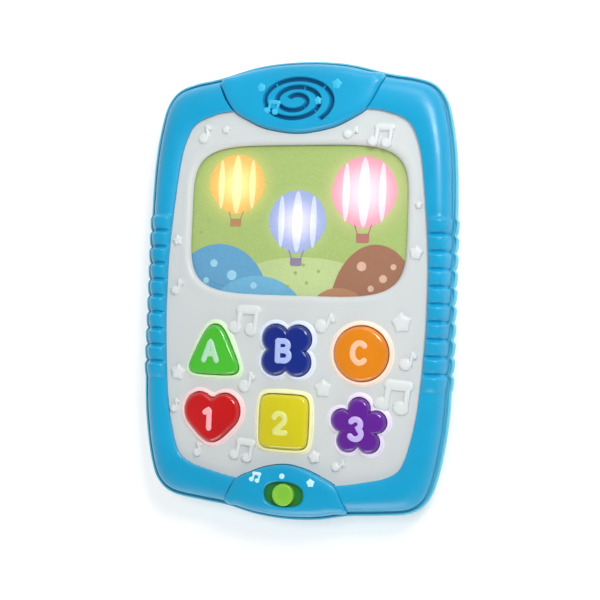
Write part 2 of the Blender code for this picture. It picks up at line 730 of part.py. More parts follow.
def make_screen():
    margin = WINDOW_MARGIN
    plan = screen_loop(margin)
    window = [(plan, WINDOW_Z), (plan, WINDOW_Z + WINDOW_THICKNESS)]
    loft("screen_window", window, (0.9, 0.95, 0.9, 1), roughness=0.05)
    card = [(plan, CARD_Z), (plan, CARD_Z + CARD_THICKNESS)]
    loft("picture_card", card, (0.45, 0.62, 0.15, 1), roughness=0.6)
    inner = screen_loop(margin - LIGHT_BOX_WALL)
    tray = [(plan, BOX_Z), (plan, BOX_TOP), (inner, BOX_TOP), (inner, BOX_Z + LIGHT_BOX_FLOOR)]
    loft("light_box", tray, white)
    strip = rectangle(LED_SPACING + LED_SIDE, LED_STRIP_WIDTH / 2, (0.0, SCREEN_Y))
    loft("led_strip", [(strip, STRIP_Z), (strip, STRIP_Z + LED_STRIP_THICKNESS)], (0.7, 0.7, 0.65, 1))
    colours = ((0.9, 0.6, 0.1, 1), (0.3, 0.4, 0.9, 1), (0.9, 0.3, 0.5, 1))
    for k, colour in enumerate(colours):
        plan = rectangle(LED_SIDE / 2, LED_SIDE / 2, ((k - 1) * LED_SPACING, SCREEN_Y))
        loft(f"led_{k + 1}", [(plan, LED_Z), (plan, LED_Z + LED_HEIGHT)], colour, roughness=0.2)


def make_buttons(buttons):
    for name, loop, centre, colour in buttons:
        middle = np.array(centre)
        stem = circle(PLUNGER_RADIUS, (0.0, 0.0), BUTTON_POINTS)
        steps = (
            (stem, PLUNGER_Z), (stem, FLANGE_Z), (grown(loop, BUTTON_FLANGE), FLANGE_Z),
            (grown(loop, BUTTON_FLANGE), FLANGE_TOP), (loop, FLANGE_TOP), (loop, BUTTON_TOP - BUTTON_ROUND),
            (grown(loop, -0.3 * BUTTON_ROUND), BUTTON_TOP - 0.45 * BUTTON_ROUND),
            (grown(loop, -1.2 * BUTTON_ROUND), BUTTON_TOP),
        )
        loft(name, [(plan + middle, z) for plan, z in steps], colour, roughness=0.25,
             origin=(centre[0], centre[1], BUTTON_TOP))
        dome = (
            (0.42 * DOME_RADIUS, DOME_Z + 0.66 * DOME_HEIGHT), (0.84 * DOME_RADIUS, DOME_Z),
            (DOME_RADIUS, DOME_Z), (DOME_RADIUS, DOME_Z + 0.2 * DOME_HEIGHT),
            (0.64 * DOME_RADIUS, DOME_Z + 0.74 * DOME_HEIGHT),
            (0.54 * DOME_RADIUS, DOME_TOP),
        )
        rings = [(circle(r, centre, 16), z) for r, z in dome]
        loft(name.replace("button", "dome"), rings, (0.5, 0.5, 0.5, 1), roughness=0.7)


def make_board():
    half, tongue = BOARD_HALF_WIDTH, BOARD_TONGUE_HALF
    plan = [(half, BOARD_BOTTOM_Y), (half, BOARD_TOP_Y), (-half, BOARD_TOP_Y), (-half, BOARD_BOTTOM_Y),
            (-tongue, BOARD_BOTTOM_Y), (-tongue, BOARD_TONGUE_Y), (tongue, BOARD_TONGUE_Y),
            (tongue, BOARD_BOTTOM_Y)]
    board = loft("main_board", [(plan, BOARD_Z), (plan, BOARD_TOP)], (0.02, 0.22, 0.06, 1))
    places = board_screw_places()
    holes = [cylinder(SHANK_RADIUS + GAP, BOARD_Z - 1, BOARD_TOP + 1, p) for p in places]
    boolean(board, tools("board_holes", holes), "DIFFERENCE")
    head_z = BOARD_TOP + GAP
    for k, place in enumerate(places):
        steps = ((SHANK_RADIUS, head_z - BOARD_SCREW_LENGTH), (SHANK_RADIUS, head_z), (HEAD_RADIUS, head_z),
                 (0.8 * HEAD_RADIUS, head_z + HEAD_HEIGHT))
        loft(f"board_screw_{k + 1}", [(circle(r, place, 12), z) for r, z in steps], (0.6, 0.6, 0.6, 1),
             roughness=0.3, metallic=1.0)
    middle = (0.0, (UPPER_ROW_Y + LOWER_ROW_Y) / 2)
    steps = ((0.6, CHIP_HEIGHT + GAP), (0.9, 0.7 * CHIP_HEIGHT + GAP), (1.0, GAP))
    loft("sound_chip", [(circle(share * CHIP_SIDE / 2, middle), BOARD_Z - drop) for share, drop in steps],
         (0.01, 0.01, 0.01, 1))


def make_speaker():
    centre = (0.0, SPEAKER_Y)
    top = PANEL_CEILING - GAP
    flange = top - FLANGE_RING
    bottom = top - BASKET_DEPTH
    radius = SPEAKER_RADIUS
    section = (
        (radius, top), (radius, flange), (0.9 * radius, flange), (0.66 * radius, bottom),
        (0.3 * radius, bottom), (0.3 * radius, bottom + 1.2), (0.6 * radius, bottom + 1.2),
        (0.82 * radius, flange), (0.88 * radius, top),
    )
    loft("speaker_basket", [(circle(r, centre), z) for r, z in section], (0.35, 0.35, 0.36, 1), closed=True,
         metallic=1.0)
    loft("speaker_magnet", cylinder(MAGNET_RADIUS, bottom - GAP - MAGNET_HEIGHT, bottom - GAP, centre, 24),
         (0.05, 0.05, 0.05, 1))
    cone = ((0.2, bottom + 1.8), (0.34, bottom + 2.2), (0.74, flange - 0.2), (0.81, top - 0.3),
            (0.74, top - 0.1),
            (0.34, bottom + 3.0), (0.2, bottom + 3.6))
    loft("speaker_cone", [(circle(share * radius, centre), z) for share, z in cone], (0.06, 0.06, 0.06, 1),
         roughness=0.8)


def make_slider():
    centre = (0.0, SLIDER_Y)
    plate_top = PANEL_CEILING - GAP
    plate_z = plate_top - SLIDER_PLATE_THICKNESS
    half_length = SLOT_HALF_LENGTH + SLIDER_TRAVEL + 2 * GAP
    count = 32
    knob = circle(KNOB_RADIUS, centre, count)
    plate = rounded(half_length, SLIDER_PLATE_HALF_WIDTH, centre, 6.0, count)
    fork = rounded(1.5 * LEVER_LENGTH, 1.4 * LEVER_WIDTH, centre, 6.0, count)
    switch_z = BOARD_TOP + GAP
    lever_z = switch_z + SWITCH_HEIGHT + GAP
    knob_top = PANEL_TOP + KNOB_RISE
    steps = ((fork, lever_z + 1.0), (fork, plate_z), (plate, plate_z), (plate, plate_top), (knob, plate_top),
             (knob, knob_top - 1.0), (circle(0.86 * KNOB_RADIUS, centre, count), knob_top))
    slider = loft("mode_slider", steps, (0.06, 0.42, 0.04, 1), origin=(0.0, SLIDER_Y, knob_top))
    half_x, half_y = LEVER_LENGTH / 2 + GAP, LEVER_WIDTH / 2 + GAP
    pocket = box(half_x, half_y, lever_z - 1.0, lever_z + LEVER_HEIGHT + GAP, centre)
    boolean(slider, tools("lever_pocket", [pocket]), "DIFFERENCE")
    loft("switch_body", box(SWITCH_LENGTH / 2, SWITCH_WIDTH / 2, switch_z, switch_z + SWITCH_HEIGHT, centre),
         (0.7, 0.7, 0.7, 1), metallic=1.0)
    loft("switch_lever", box(LEVER_LENGTH / 2, LEVER_WIDTH / 2, lever_z, lever_z + LEVER_HEIGHT, centre),
         (0.03, 0.03, 0.03, 1))


def turned(name, steps, start, colour, **options):
    """Round solid along X: (distance along X, radius) steps from a start point."""
    count = 20
    points = []
    for along, radius in steps:
        ring = circle(radius, (0, 0), count)
        points += [(start[0] + along, start[1] + p[0], start[2] + p[1]) for p in ring]
    solid(name, points, loft_faces(len(steps), count, False), colour, **options)


def tube(name, path, radius, colour, sides=6, **options):
    """Round wire along a path of points."""
    path = np.asarray(path, float)
    along = np.gradient(path, axis=0)
    along /= np.linalg.norm(along, axis=1)[:, None]
    points = []
    side = np.cross(along[0], (0.3, 0.2, 0.9))
    for spot, ahead in zip(path, along):
        side = side - ahead * np.dot(side, ahead)
        side /= np.linalg.norm(side)
        up = np.cross(ahead, side)
        for k in range(sides):
            turn = 2 * math.pi * k / sides
            points.append(spot + radius * (math.cos(turn) * side + math.sin(turn) * up))
    solid(name, points, loft_faces(len(path), sides, False), colour, **options)


def make_battery_bay():
    face, pocket_x, pocket_y, cell_shift, door_low, door_high = bay_sizes()
    shift = face - GAP - CELL_LENGTH / 2
    body = CELL_LENGTH - CELL_NUB_LENGTH
    radius = CELL_DIAMETER / 2
    for k, way in ((1, 1), (2, -1)):
        y = BAY_Y + way * cell_shift
        start = (way * (shift - CELL_LENGTH / 2), y, CELL_Z)
        steps = ((0.0, radius - 0.6), (0.6, radius), (body - 0.6, radius), (body, radius - 0.6),
                 (body, CELL_NUB_RADIUS),
                 (CELL_LENGTH, CELL_NUB_RADIUS))
        turned(f"cell_{k}", [(way * a, r) for a, r in steps], start, (0.25, 0.27, 0.3, 1), metallic=0.8)
        turns = np.linspace(0, 3 * 2 * math.pi, 28)
        reach = SPRING_LENGTH - 2 * SPRING_WIRE
        spring_x = way * (GAP - face + SPRING_WIRE)
        coil = [(spring_x + way * reach * t / turns[-1], y + SPRING_RADIUS * math.cos(t),
                 CELL_Z + SPRING_RADIUS * math.sin(t)) for t in turns]
        tube(f"contact_spring_{k}", coil, SPRING_WIRE, (0.7, 0.7, 0.7, 1), sides=5,
             roughness=0.3, metallic=1.0)
    steel = (0.75, 0.75, 0.75, 1)
    low, high = CELL_Z - CONTACT_HEIGHT / 2, CELL_Z + CONTACT_HEIGHT / 2
    plate_x = face + CONTACT_THICKNESS / 2
    bridge = box(CONTACT_THICKNESS / 2, cell_shift + CONTACT_WIDTH / 2, low, high, (-plate_x, BAY_Y))
    loft("contact_bridge", bridge, steel, roughness=0.3, metallic=1.0)
    for k, way in ((1, 1), (2, -1)):
        y = BAY_Y + way * cell_shift
        plate = box(CONTACT_THICKNESS / 2, CONTACT_WIDTH / 2, low, high, (plate_x, y))
        tab = loft(f"contact_tab_{k}", plate, steel, roughness=0.3, metallic=1.0)
        tail_half = (tail_tip() - plate_x) / 2
        tail = box(tail_half, TAIL_WIDTH / 2, CELL_Z - 0.4, CELL_Z + 0.4, (plate_x + tail_half, y))
        boolean(tab, tools(f"contact_tail_{k}", [tail]), "UNION")

    middle = (0.0, (door_low + door_high) / 2)
    door = loft("battery_door", [
        (rectangle(pocket_x + DOOR_LEDGE, (door_high - door_low) / 2, middle), z)
        for z in (0.0, DOOR_THICKNESS)
    ], pale_blue)
    place = door_screw_place()
    wide = circle(HEAD_RADIUS + GAP, place, 16)
    narrow = circle(SHANK_RADIUS + GAP, place, 16)
    shoulder = HEAD_HEIGHT + GAP
    hole = [(wide, -1.0), (wide, shoulder), (narrow, shoulder), (narrow, DOOR_THICKNESS + 1.0)]
    boolean(door, tools("door_screw_hole", [hole]), "DIFFERENCE")
    make_screw("door_screw", place, 0.0, DOOR_SCREW_LENGTH)


def tail_tip():
    _, pocket_x, _, _, _, _ = bay_sizes()
    return pocket_x + BAY_WALL + 1.5


def make_screw(name, place, head_z, length):
    """Screw driven from the rear, with a cross in its head."""
    head_top = head_z + HEAD_HEIGHT
    steps = ((HEAD_RADIUS, head_z), (HEAD_RADIUS, head_top), (SHANK_RADIUS, head_top),
             (SHANK_RADIUS, head_top + length - 1.0), (0.4 * SHANK_RADIUS, head_top + length))
    rings = [(circle(r, place, 16), z) for r, z in steps]
    screw = loft(name, rings, (0.6, 0.6, 0.6, 1), roughness=0.3, metallic=1.0)
    long, short = 0.62 * HEAD_RADIUS, 0.16 * HEAD_RADIUS
    cross = np.array([
        (long, -short), (long, short), (short, short), (short, long), (-short, long), (-short, short),
        (-long, short), (-long, -short), (-short, -short), (-short, -long), (short, -long), (short, -short),
    ])
    plan = cross + np.array(place)
    recess = [(plan, head_z - 1.0), (plan, head_z + 0.6 * HEAD_HEIGHT)]
    boolean(screw, tools(name + "_cross", [recess]), "DIFFERENCE")


def make_leads():
    on_board = BOARD_TOP + GAP + LEAD_RADIUS
    basket_z = PANEL_CEILING - GAP - BASKET_DEPTH + 1.5
    reach = 0.72 * SPEAKER_RADIUS + GAP + LEAD_RADIUS
    for k, colour in ((0, (0.6, 0.02, 0.02, 1)), (1, (0.02, 0.02, 0.02, 1))):
        side = LEAD_SIDE_X - LEAD_SPACING * k
        over_edge = [(BOARD_TOP_Y + 2.5 * LEAD_LAND, LEAD_LOW_Z), (BOARD_TOP_Y + LEAD_LAND, BOARD_TOP - GAP),
                     (BOARD_TOP_Y + 0.4 * LEAD_LAND, on_board + LEAD_RADIUS)]
        land_y = BOARD_TOP_Y - LEAD_LAND
        turn = math.radians(205 + 24 * k)
        start = (reach * math.cos(turn), SPEAKER_Y + reach * math.sin(turn), basket_z)
        path = [start, (start[0] - 5, start[1] - 4, BOARD_TOP - 0.5 - LEAD_SPACING * k),
                (4 - side, SPEAKER_PANEL_INNER_Y - 4 - LEAD_SPACING * k, LEAD_LOW_Z + 1.5),
                (-side, SPEAKER_PANEL_INNER_Y - 14, LEAD_LOW_Z), (-side, BAY_Y, LEAD_LOW_Z)]
        path += [(-side, y, z) for y, z in over_edge]
        path.append((LEAD_LAND - side, land_y, on_board))
        tube(f"speaker_lead_{k + 1}", path, LEAD_RADIUS, colour)
        y = BAY_Y + (1 - 2 * k) * bay_sizes()[3]
        begin = tail_tip() + GAP
        path = [(begin, y, CELL_Z), (begin + 4, y - 1, CELL_Z - 0.5), (side - 2, y - 9, LEAD_LOW_Z + 0.5),
                (side, y - 16, LEAD_LOW_Z)]
        path += [(side, y, z) for y, z in over_edge]
        path.append((side - LEAD_LAND, land_y, on_board))
        tube(f"battery_lead_{k + 1}", path, LEAD_RADIUS, colour)


def main():
    clear_scene()
    outline = Outline()
    buttons = button_table()
    speaker_half = panel_half(outline, SPEAKER_PANEL_HALF, SPEAKER_PANEL_INNER_Y, SPEAKER_PANEL_SHAPE, 1)
    switch_half = panel_half(outline, SWITCH_PANEL_HALF, SWITCH_PANEL_INNER_Y, SWITCH_PANEL_SHAPE, -1)
    cutters = [make_panel_cutter("speaker_panel_seat", speaker_half),
               make_panel_cutter("switch_panel_seat", switch_half)]
    make_rear_case(outline)
    make_front_frame(outline, cutters)
    make_face(outline, buttons, cutters)
    speaker_panel = make_panel("speaker_panel", speaker_half)
    boolean(speaker_panel, tools("grille_slots", spiral_slots()), "DIFFERENCE")
    switch_panel = make_panel("switch_panel", switch_half)
    slot = rounded(SLOT_HALF_LENGTH, SLOT_HALF_WIDTH, (0.0, SLIDER_Y), 2.6, 32)
    slot_cut = [(slot, PANEL_CEILING - 2.0), (slot, PANEL_TOP + 1.0)]
    boolean(switch_panel, tools("slider_slot", [slot_cut]), "DIFFERENCE")
    make_screen()
    make_buttons(buttons)
    make_board()
    make_speaker()
    make_slider()
    make_battery_bay()
    for name, place in screw_places(outline):
        make_screw("case_screw_" + name, place, CASE_SCREW_HEAD_Z, CASE_SCREW_LENGTH)
    make_leads()
    # The origin moves to the middle of the case's length
    for obj in bpy.data.objects:
        obj.location.y -= (TOP_REACH - BOTTOM_REACH) / 2 * MM


main()
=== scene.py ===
"""Toy learning tablet: the visual model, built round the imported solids. Sizes are in millimetres."""

import math

import bpy
import numpy as np
from mathutils import Matrix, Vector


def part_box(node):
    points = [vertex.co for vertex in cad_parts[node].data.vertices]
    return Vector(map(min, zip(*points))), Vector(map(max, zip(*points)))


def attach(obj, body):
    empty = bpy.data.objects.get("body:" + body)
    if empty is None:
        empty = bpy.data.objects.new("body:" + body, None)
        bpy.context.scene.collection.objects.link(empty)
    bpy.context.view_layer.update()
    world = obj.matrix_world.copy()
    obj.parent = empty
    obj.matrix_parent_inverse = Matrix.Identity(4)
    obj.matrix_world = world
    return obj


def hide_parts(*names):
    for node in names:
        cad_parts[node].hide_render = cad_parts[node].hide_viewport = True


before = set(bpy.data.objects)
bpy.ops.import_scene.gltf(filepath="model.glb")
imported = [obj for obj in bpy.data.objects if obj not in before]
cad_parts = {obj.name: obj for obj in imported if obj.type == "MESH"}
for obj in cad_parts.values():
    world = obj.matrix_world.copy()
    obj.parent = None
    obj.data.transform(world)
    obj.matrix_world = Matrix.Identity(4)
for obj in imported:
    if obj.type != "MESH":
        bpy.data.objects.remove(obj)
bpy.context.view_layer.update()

MM = 0.001
# The drawing's origin lies this far below the row's origin, along Y
SHIFT_Y = 1.65
GAP = 0.3
# How far a cutting tool reaches past the faces that it cuts
CUT_REACH = 1.0
# Faces that turn by more than this many degrees meet in a crease
CREASE, INK_CREASE = 35.0, 20.0

# Case outline and the inner edge of the blue frame, as shares of their half widths and reaches
HALF_WIDTH, TOP_REACH, BOTTOM_REACH = 78.0, 115.6, 112.3
OUTLINE_SHAPE = (
    (0.000, 1.000), (0.282, 0.986), (0.558, 0.939), (0.731, 0.917), (0.846, 0.889),
    (0.913, 0.835), (0.949, 0.753), (0.983, 0.606), (0.999, 0.389), (1.000, 0.000),
    (0.997, -0.445), (0.969, -0.659), (0.926, -0.806), (0.877, -0.883), (0.782, -0.929),
    (0.590, -0.948), (0.397, -0.962), (0.205, -0.990), (0.000, -1.000),
)
FACE_HALF_WIDTH, FACE_TOP_REACH, FACE_BOTTOM_REACH = 67.7, 93.6, 96.6
FACE_SHAPE = (
    (0.000, 1.000), (0.517, 0.983), (0.680, 0.962), (0.817, 0.915), (0.886, 0.828),
    (0.928, 0.705), (0.963, 0.491), (0.993, 0.224), (1.000, 0.000), (0.994, -0.228),
    (0.960, -0.559), (0.908, -0.756), (0.849, -0.870), (0.753, -0.921), (0.613, -0.950),
    (0.372, -0.983), (0.000, -1.000),
)
OUTLINE_STEPS = 24

# Grip ribs, and the points along one side of the outline above and below them
RIB_COUNT, RIB_PITCH, RIB_TOP_Y, RIB_HEIGHT, RIB_UP = 10, 8.5, 38.8, 0.85, 1.8
RIB_POINTS, POINTS_ABOVE, POINTS_BELOW = 24, 80, 76
# Share of each rib that rises, the power of its rounded fall, and the notch between two ribs
RIB_RISE, RIB_FALL, RIB_NOTCH, RIB_NOTCH_WIDTH = 0.26, 2.2, 0.34, 0.075

# Heights
REAR_HEIGHT, FLOOR, GROOVE = 22.0, 2.7, 2.3
FRAME_Z, CROWN = 22.3, 29.3
FACE_Z, FACE_TOP = 24.1, 26.1
COLLAR_TOP, BUTTON_TOP = 27.6, 30.1
SEAT_Z, PANEL_TOP, PANEL_CEILING = 23.8, 30.5, 28.3
CARD_Z, CARD_TOP, WINDOW_Z, WINDOW_TOP = 22.2, 22.5, 22.8, 23.8
FLANGE_Z, FLANGE_TOP = 22.4, 23.8
KNOB_TOP = 31.4

# Rear case: offset from the outline, height and share of the ribs, from the rear to the floor inside
CASE_PROFILE = (
    (-6.0, 0.0, 0.0), (-4.9, 0.15, 0.0), (-3.6, 1.0, 0.0), (-2.4, 2.1, 0.1), (-1.2, 3.5, 0.3),
    (-0.2, 5.3, 0.5), (0.6, 7.5, 0.7), (1.3, 10.0, 0.9), (1.9, 13.2, 1.0), (2.3, 16.0, 1.0),
    (2.4, 18.2, 1.0), (2.4, 20.0, 1.0), (2.35, 21.0, 1.0), (2.2, 21.6, 1.0), (1.95, 21.93, 1.0),
    (1.6, REAR_HEIGHT, 1.0), (1.3, 21.9, 1.0), (1.15, 21.5, 1.0), (1.1, REAR_HEIGHT - GROOVE, 1.0),
    (-0.5, REAR_HEIGHT - GROOVE, 0.0), (-0.8, REAR_HEIGHT, 0.0), (-2.4, REAR_HEIGHT, 0.0),
    (-2.4, 11.0, 0.0), (-3.4, 7.5, 0.0), (-5.8, FLOOR, 0.0),
)
# Battery bay: half sizes of its pocket, its wall and its ledge past the door, then heights
POCKET_X, POCKET_Y, BAY_WALL, BAY_LEDGE = 28.6, 15.0, 2.5, 1.6
BAY_Z, BAY_TOP, POCKET_TOP = 1.4, 18.5, 17.5
# Battery door: its edge as inset and height, and the grip grooves across it
DOOR_SQUARENESS, DOOR_POINTS = 24.0, 96
DOOR_EDGE = ((0.5, 0.0), (0.15, 0.12), (0.0, 0.45), (0.0, 2.4))
GRIP_COUNT, GRIP_PITCH, GRIP_START, GRIP_DEPTH = 5, 2.4, 6.0, 0.45
GRIP_X, GRIP_Y, GRIP_SQUARENESS, GRIP_POINTS = 9.0, 0.55, 2.4, 48
# Screw holes: radii of rim, head and shank, then the heights of the chamfer, the seat and the end
SCREW_RADII = (3.0, 2.6, 1.5)
CASE_HOLE, CASE_HOLE_POINTS = (0.25, 0.8, 6.8, 20.0), 32
DOOR_HOLE, DOOR_HOLE_POINTS = (0.05, 0.4, 1.5, 4.0), 40

# Blue frame: share of the way to the face edge, height, and how much the ribs push out and up
FRAME_PROFILE = (
    (0.004, FRAME_Z, 1.0, 0.0), (0.0, 22.7, 1.0, 0.0), (0.006, 23.2, 1.0, 0.0), (0.022, 23.8, 1.0, 0.05),
    (0.05, 24.7, 1.0, 0.15), (0.09, 25.7, 1.0, 0.3), (0.14, 26.6, 1.0, 0.5), (0.2, 27.45, 0.95, 0.7),
    (0.27, 28.15, 0.9, 0.85), (0.35, 28.7, 0.8, 1.0), (0.44, 29.1, 0.7, 1.0), (0.53, CROWN, 0.6, 1.0),
    (0.62, 29.3, 0.5, 1.0), (0.71, 29.2, 0.4, 1.0), (0.8, 28.98, 0.3, 1.0), (0.88, 28.68, 0.15, 0.85),
    (0.94, 28.38, 0.0, 0.5), (0.98, 28.1, 0.0, 0.15), (1.0, 27.8, 0.0, 0.0), (1.004, 27.3, 0.0, 0.0),
    (1.0, FACE_TOP + GAP, 0.0, 0.0), (0.72, FACE_TOP + GAP, 0.0, 0.0), (0.5, CROWN - 2.4, 0.0, 0.0),
    (0.34, 26.2, 0.0, 0.0), (0.24, 24.4, 0.0, 0.0), (0.2, FRAME_Z, 0.0, 0.0),
)

# Screen opening, and what shows through it, a little above its middle
SCREEN_HALF_WIDTH, SCREEN_HALF_HEIGHT, SCREEN_Y, SCREEN_SQUARENESS = 56.5, 39.2, 35.7, 4.8
OPENING_HALF_WIDTH, OPENING_HALF_HEIGHT, OPENING_Y = 56.4, 38.2, 36.6
SCREEN_POINTS, OPENING_POINTS, SCREEN_SAMPLES = 160, 200, 720
# How far the window and its card, the printed shapes and the hole in the face go past the opening
WINDOW_MARGIN, PRINT_MARGIN, OPENING_CUT = 2.0, 1.6, 2.6
# Screen bezel: margin from the opening and height
BEZEL_PROFILE = (
    (5.3, FACE_TOP - 0.6), (5.3, FACE_TOP + 0.01), (4.4, FACE_TOP + 0.08), (3.4, FACE_TOP + 0.16),
    (2.5, FACE_TOP + 0.14), (1.7, FACE_TOP - 0.06), (1.0, FACE_TOP - 0.5), (0.5, FACE_TOP - 1.1),
    (0.15, FACE_TOP - 1.75), (0.0, WINDOW_TOP + 0.1), (2.2, WINDOW_TOP + 0.1),
)
FACE_RIM = 1.2

# End panels: inner edges, half widths, seams, and the points along one side
SPEAKER_PANEL_SHAPE = (
    (0.946, 0.294), (0.876, 0.481), (0.786, 0.626), (0.627, 0.765), (0.392, 0.914), (0.0, 1.0),
)
SWITCH_PANEL_SHAPE = ((0.948, 0.307), (0.826, 0.601), (0.594, 0.775), (0.323, 0.927), (0.0, 1.0))
SPEAKER_PANEL_HALF, SPEAKER_PANEL_INNER_Y = 42.6, 80.4
SWITCH_PANEL_HALF, SWITCH_PANEL_INNER_Y = 31.0, -86.4
PANEL_LIP, PANEL_SEAM, SPEAKER_SEAM, SWITCH_SEAM, PANEL_CLEAR = 0.4, 0.36, 0.24, 0.10, 5.0
PANEL_ROWS, PANEL_STEPS, PANEL_POINTS = 6, 16, 97
# Panel edges as inset and height: inside, along the case's outline, and along each seam with the frame
PANEL_INSIDE = ((4.0, PANEL_CEILING), (2.2, PANEL_CEILING - 1.5), (2.2, SEAT_Z))
OUTLINE_EDGE = (
    (0.0, SEAT_Z), (0.25, 24.6), (0.6, 25.7), (1.05, 26.9), (1.65, 27.9), (2.4, 28.75), (3.3, 29.4),
    (4.5, 29.9), (6.0, 30.22), (8.0, 30.42), (10.5, PANEL_TOP),
)
SPEAKER_EDGE = (
    (0.0, SEAT_Z), (0.0, 25.6), (0.05, 26.6), (0.2, 27.4), (0.5, 28.2), (1.0, 28.9), (1.8, 29.45),
    (3.0, 29.85), (5.0, 30.2), (7.5, 30.41), (10.5, PANEL_TOP),
)
SWITCH_EDGE = (
    (0.0, SEAT_Z), (0.0, 26.4), (0.0, 27.8), (0.05, 28.5), (0.2, 28.95), (0.6, 29.3), (1.4, 29.6),
    (2.8, 29.9), (4.8, 30.18), (7.2, 30.4), (10.5, PANEL_TOP),
)
# Where a panel's edge passes from seam to outline, before and after its widest place
BLEND_BEFORE, BLEND_AFTER = 2.0, 0.8

# Speaker grille: a flattened spiral that winds out clockwise, in a bevelled groove
SPIRAL_X, SPIRAL_Y, SPIRAL_START = -1.5, 96.1, 0.6
SPIRAL_TURN, SPIRAL_INNER, SPIRAL_REACH, SPIRAL_SQUASH = 2.64 * 2 * math.pi, 2.9, 19.9, 0.62
SPIRAL_PIECES, SPIRAL_BRIDGE, SPIRAL_SLOT, SPIRAL_CROWDING = 8, 0.03, 1.7, 0.75
SPIRAL_POINTS, SLOT_POINTS, SLOT_BELOW, SLOT_ABOVE = 220, 40, 1.0, 2.0
# Width of the groove, height from the panel's top, and how far the groove's ends reach out
SPIRAL_GROOVE = (
    (1.9, -1.9, 0.0), (2.1, -0.8, 0.01), (2.6, -0.25, 0.04), (3.1, 0.05, 0.07), (3.1, 2.0, 0.07),
)
# Dark blue sheet behind the grille, painted shade that shows through the slots: its margin from the panel's
# edge, and its underside and top
SHADE_SHEET_MARGIN, SHADE_SHEET_Z, SHADE_SHEET_TOP = 5.5, 28.08, 28.22

# Mode slider: oval slot and its edge as margin and height, plate, knob and the dots on it
SLIDER_Y, SLIDER_SAMPLES, SLIDER_POINTS = -100.9, 360, 96
SLOT_X, SLOT_Y, SLOT_SQUARENESS = 10.0, 6.0, 2.6
SLOT_EDGE = (
    (1.6, PANEL_TOP + 1.0), (1.1, PANEL_TOP - 0.15), (0.5, PANEL_TOP - 0.5), (0.1, PANEL_TOP - 1.0),
    (0.0, PANEL_CEILING - 2.0),
)
PLATE_X, PLATE_Y, PLATE_SQUARENESS, PLATE_Z, PLATE_TOP = 14.8, 6.9, 6.0, 26.5, 28.0
KNOB_RADIUS, KNOB_Z, KNOB_EDGE, KNOB_ROUND_IN, KNOB_ROUND_UP = 5.5, 27.8, 1.0, 0.9, 0.95
KNOB_TURNS = (25, 45, 65, 85)
KNOB_DISH = ((4.2, 0.12), (3.7, 0.35), (2.6, 0.5), (1.2, 0.56))
KNOB_RINGS, KNOB_DOT, KNOB_DOT_POINTS = ((1.1, 5), (2.5, 10)), 0.42, 16
KNOB_DOT_SINK, KNOB_DOT_HEIGHT = 0.62, 0.34

# Buttons: places, outlines, caps and collars
COLUMN, MIDDLE_X, UPPER_ROW_Y, LOWER_ROW_Y = 38.2, -1.8, -29.2, -65.0
BUTTON_POINTS, BUTTON_STEPS = 120, 40
TRIANGLE_SIZE, HEART_SIZE, ROUND_RADIUS = 14.2, 14.7, 13.5
SQUARE_X, SQUARE_Y, SQUARE_SQUARENESS, SQUARE_SAMPLES = 12.6, 13.5, 6.0, 1440
# Count of lobes, radius of their ring, radius of a lobe and direction of the first
QUATREFOIL = (4, 8.0, 7.0, math.pi / 4)
FLOWER = (5, 8.6, 5.5, math.pi / 2)
TRIANGLE_SHAPE = (
    (0.00, 0.80), (0.20, 0.74), (0.40, 0.50), (0.62, 0.06), (0.86, -0.44),
    (0.94, -0.70), (0.84, -0.90), (0.55, -0.97), (0.00, -0.98),
)
HEART_SHAPE = (
    (0.00, 0.66), (0.24, 0.79), (0.54, 0.83), (0.85, 0.65), (1.00, 0.31),
    (0.93, -0.08), (0.65, -0.42), (0.30, -0.74), (0.00, -0.85),
)
FLANGE_REACH, BUTTON_HOLE = 1.3, 0.9
# Rounding of a cap's edge, the drop of its dome, and the dome as share of the plan and of that drop
CAP_ROUND, CAP_DOME = 2.6, 0.35
CAP_TURNS = (10, 20, 30, 40, 50, 60, 70, 80, 90)
CAP_DOME_STEPS = ((0.75, 0.6), (0.5, 0.3), (0.28, 0.1), (0.1, 0.0))
# Collar: margin from the button and height
COLLAR_PROFILE = (
    (0.5, FACE_Z + 0.4), (0.5, COLLAR_TOP - 0.4), (0.62, COLLAR_TOP - 0.12), (0.9, COLLAR_TOP),
    (1.4, COLLAR_TOP - 0.02), (1.8, COLLAR_TOP - 0.3), (2.05, COLLAR_TOP - 0.75), (2.3, FACE_TOP + 0.25),
    (2.8, FACE_TOP + 0.02), (2.8, FACE_Z + 0.4),
)
# Painted glow of the collars: emission in their own tint
COLLAR_PAINTED_GLOW = 0.14
LEGEND_SCALE, LEGEND_WIDTH, LEGEND_HEIGHT, LEGEND_SINK = 9.7, 3.0, 0.75, 0.35
# Cap, legend and collar colours, and the legend's place from the button's middle; a collar's colour is the
# face's white tinted with its cap's colour, a painted reflection of the cap
BUTTON_LOOKS = {
    "a": ((0.065, 0.470, 0.030), (0.420, 0.700, 0.480), (0.60, 0.78, 0.52), (-1.4, -1.8)),
    "b": ((0.006, 0.022, 0.220), (0.390, 0.490, 0.830), (0.63, 0.70, 0.84), (-0.9, -0.3)),
    "c": ((0.700, 0.215, 0.006), (0.920, 0.500, 0.300), (0.84, 0.68, 0.56), (-0.6, 0.4)),
    "1": ((0.520, 0.006, 0.008), (0.900, 0.410, 0.440), (0.84, 0.58, 0.58), (-1.2, -0.5)),
    "2": ((0.630, 0.560, 0.012), (0.740, 0.740, 0.230), (0.76, 0.76, 0.44), (-1.6, -0.6)),
    "3": ((0.110, 0.014, 0.270), (0.520, 0.410, 0.800), (0.70, 0.64, 0.80), (-0.9, -1.0)),
}

# Raised strokes: spacing in widths, fewest points, turns of the round ends, points over the top, fullness
STROKE_SPACING, STROKE_LEAST, STROKE_ENDS, STROKE_ARCH, STROKE_FULLNESS = 0.25, 4, (22, 44, 66, 84), 9, 0.8
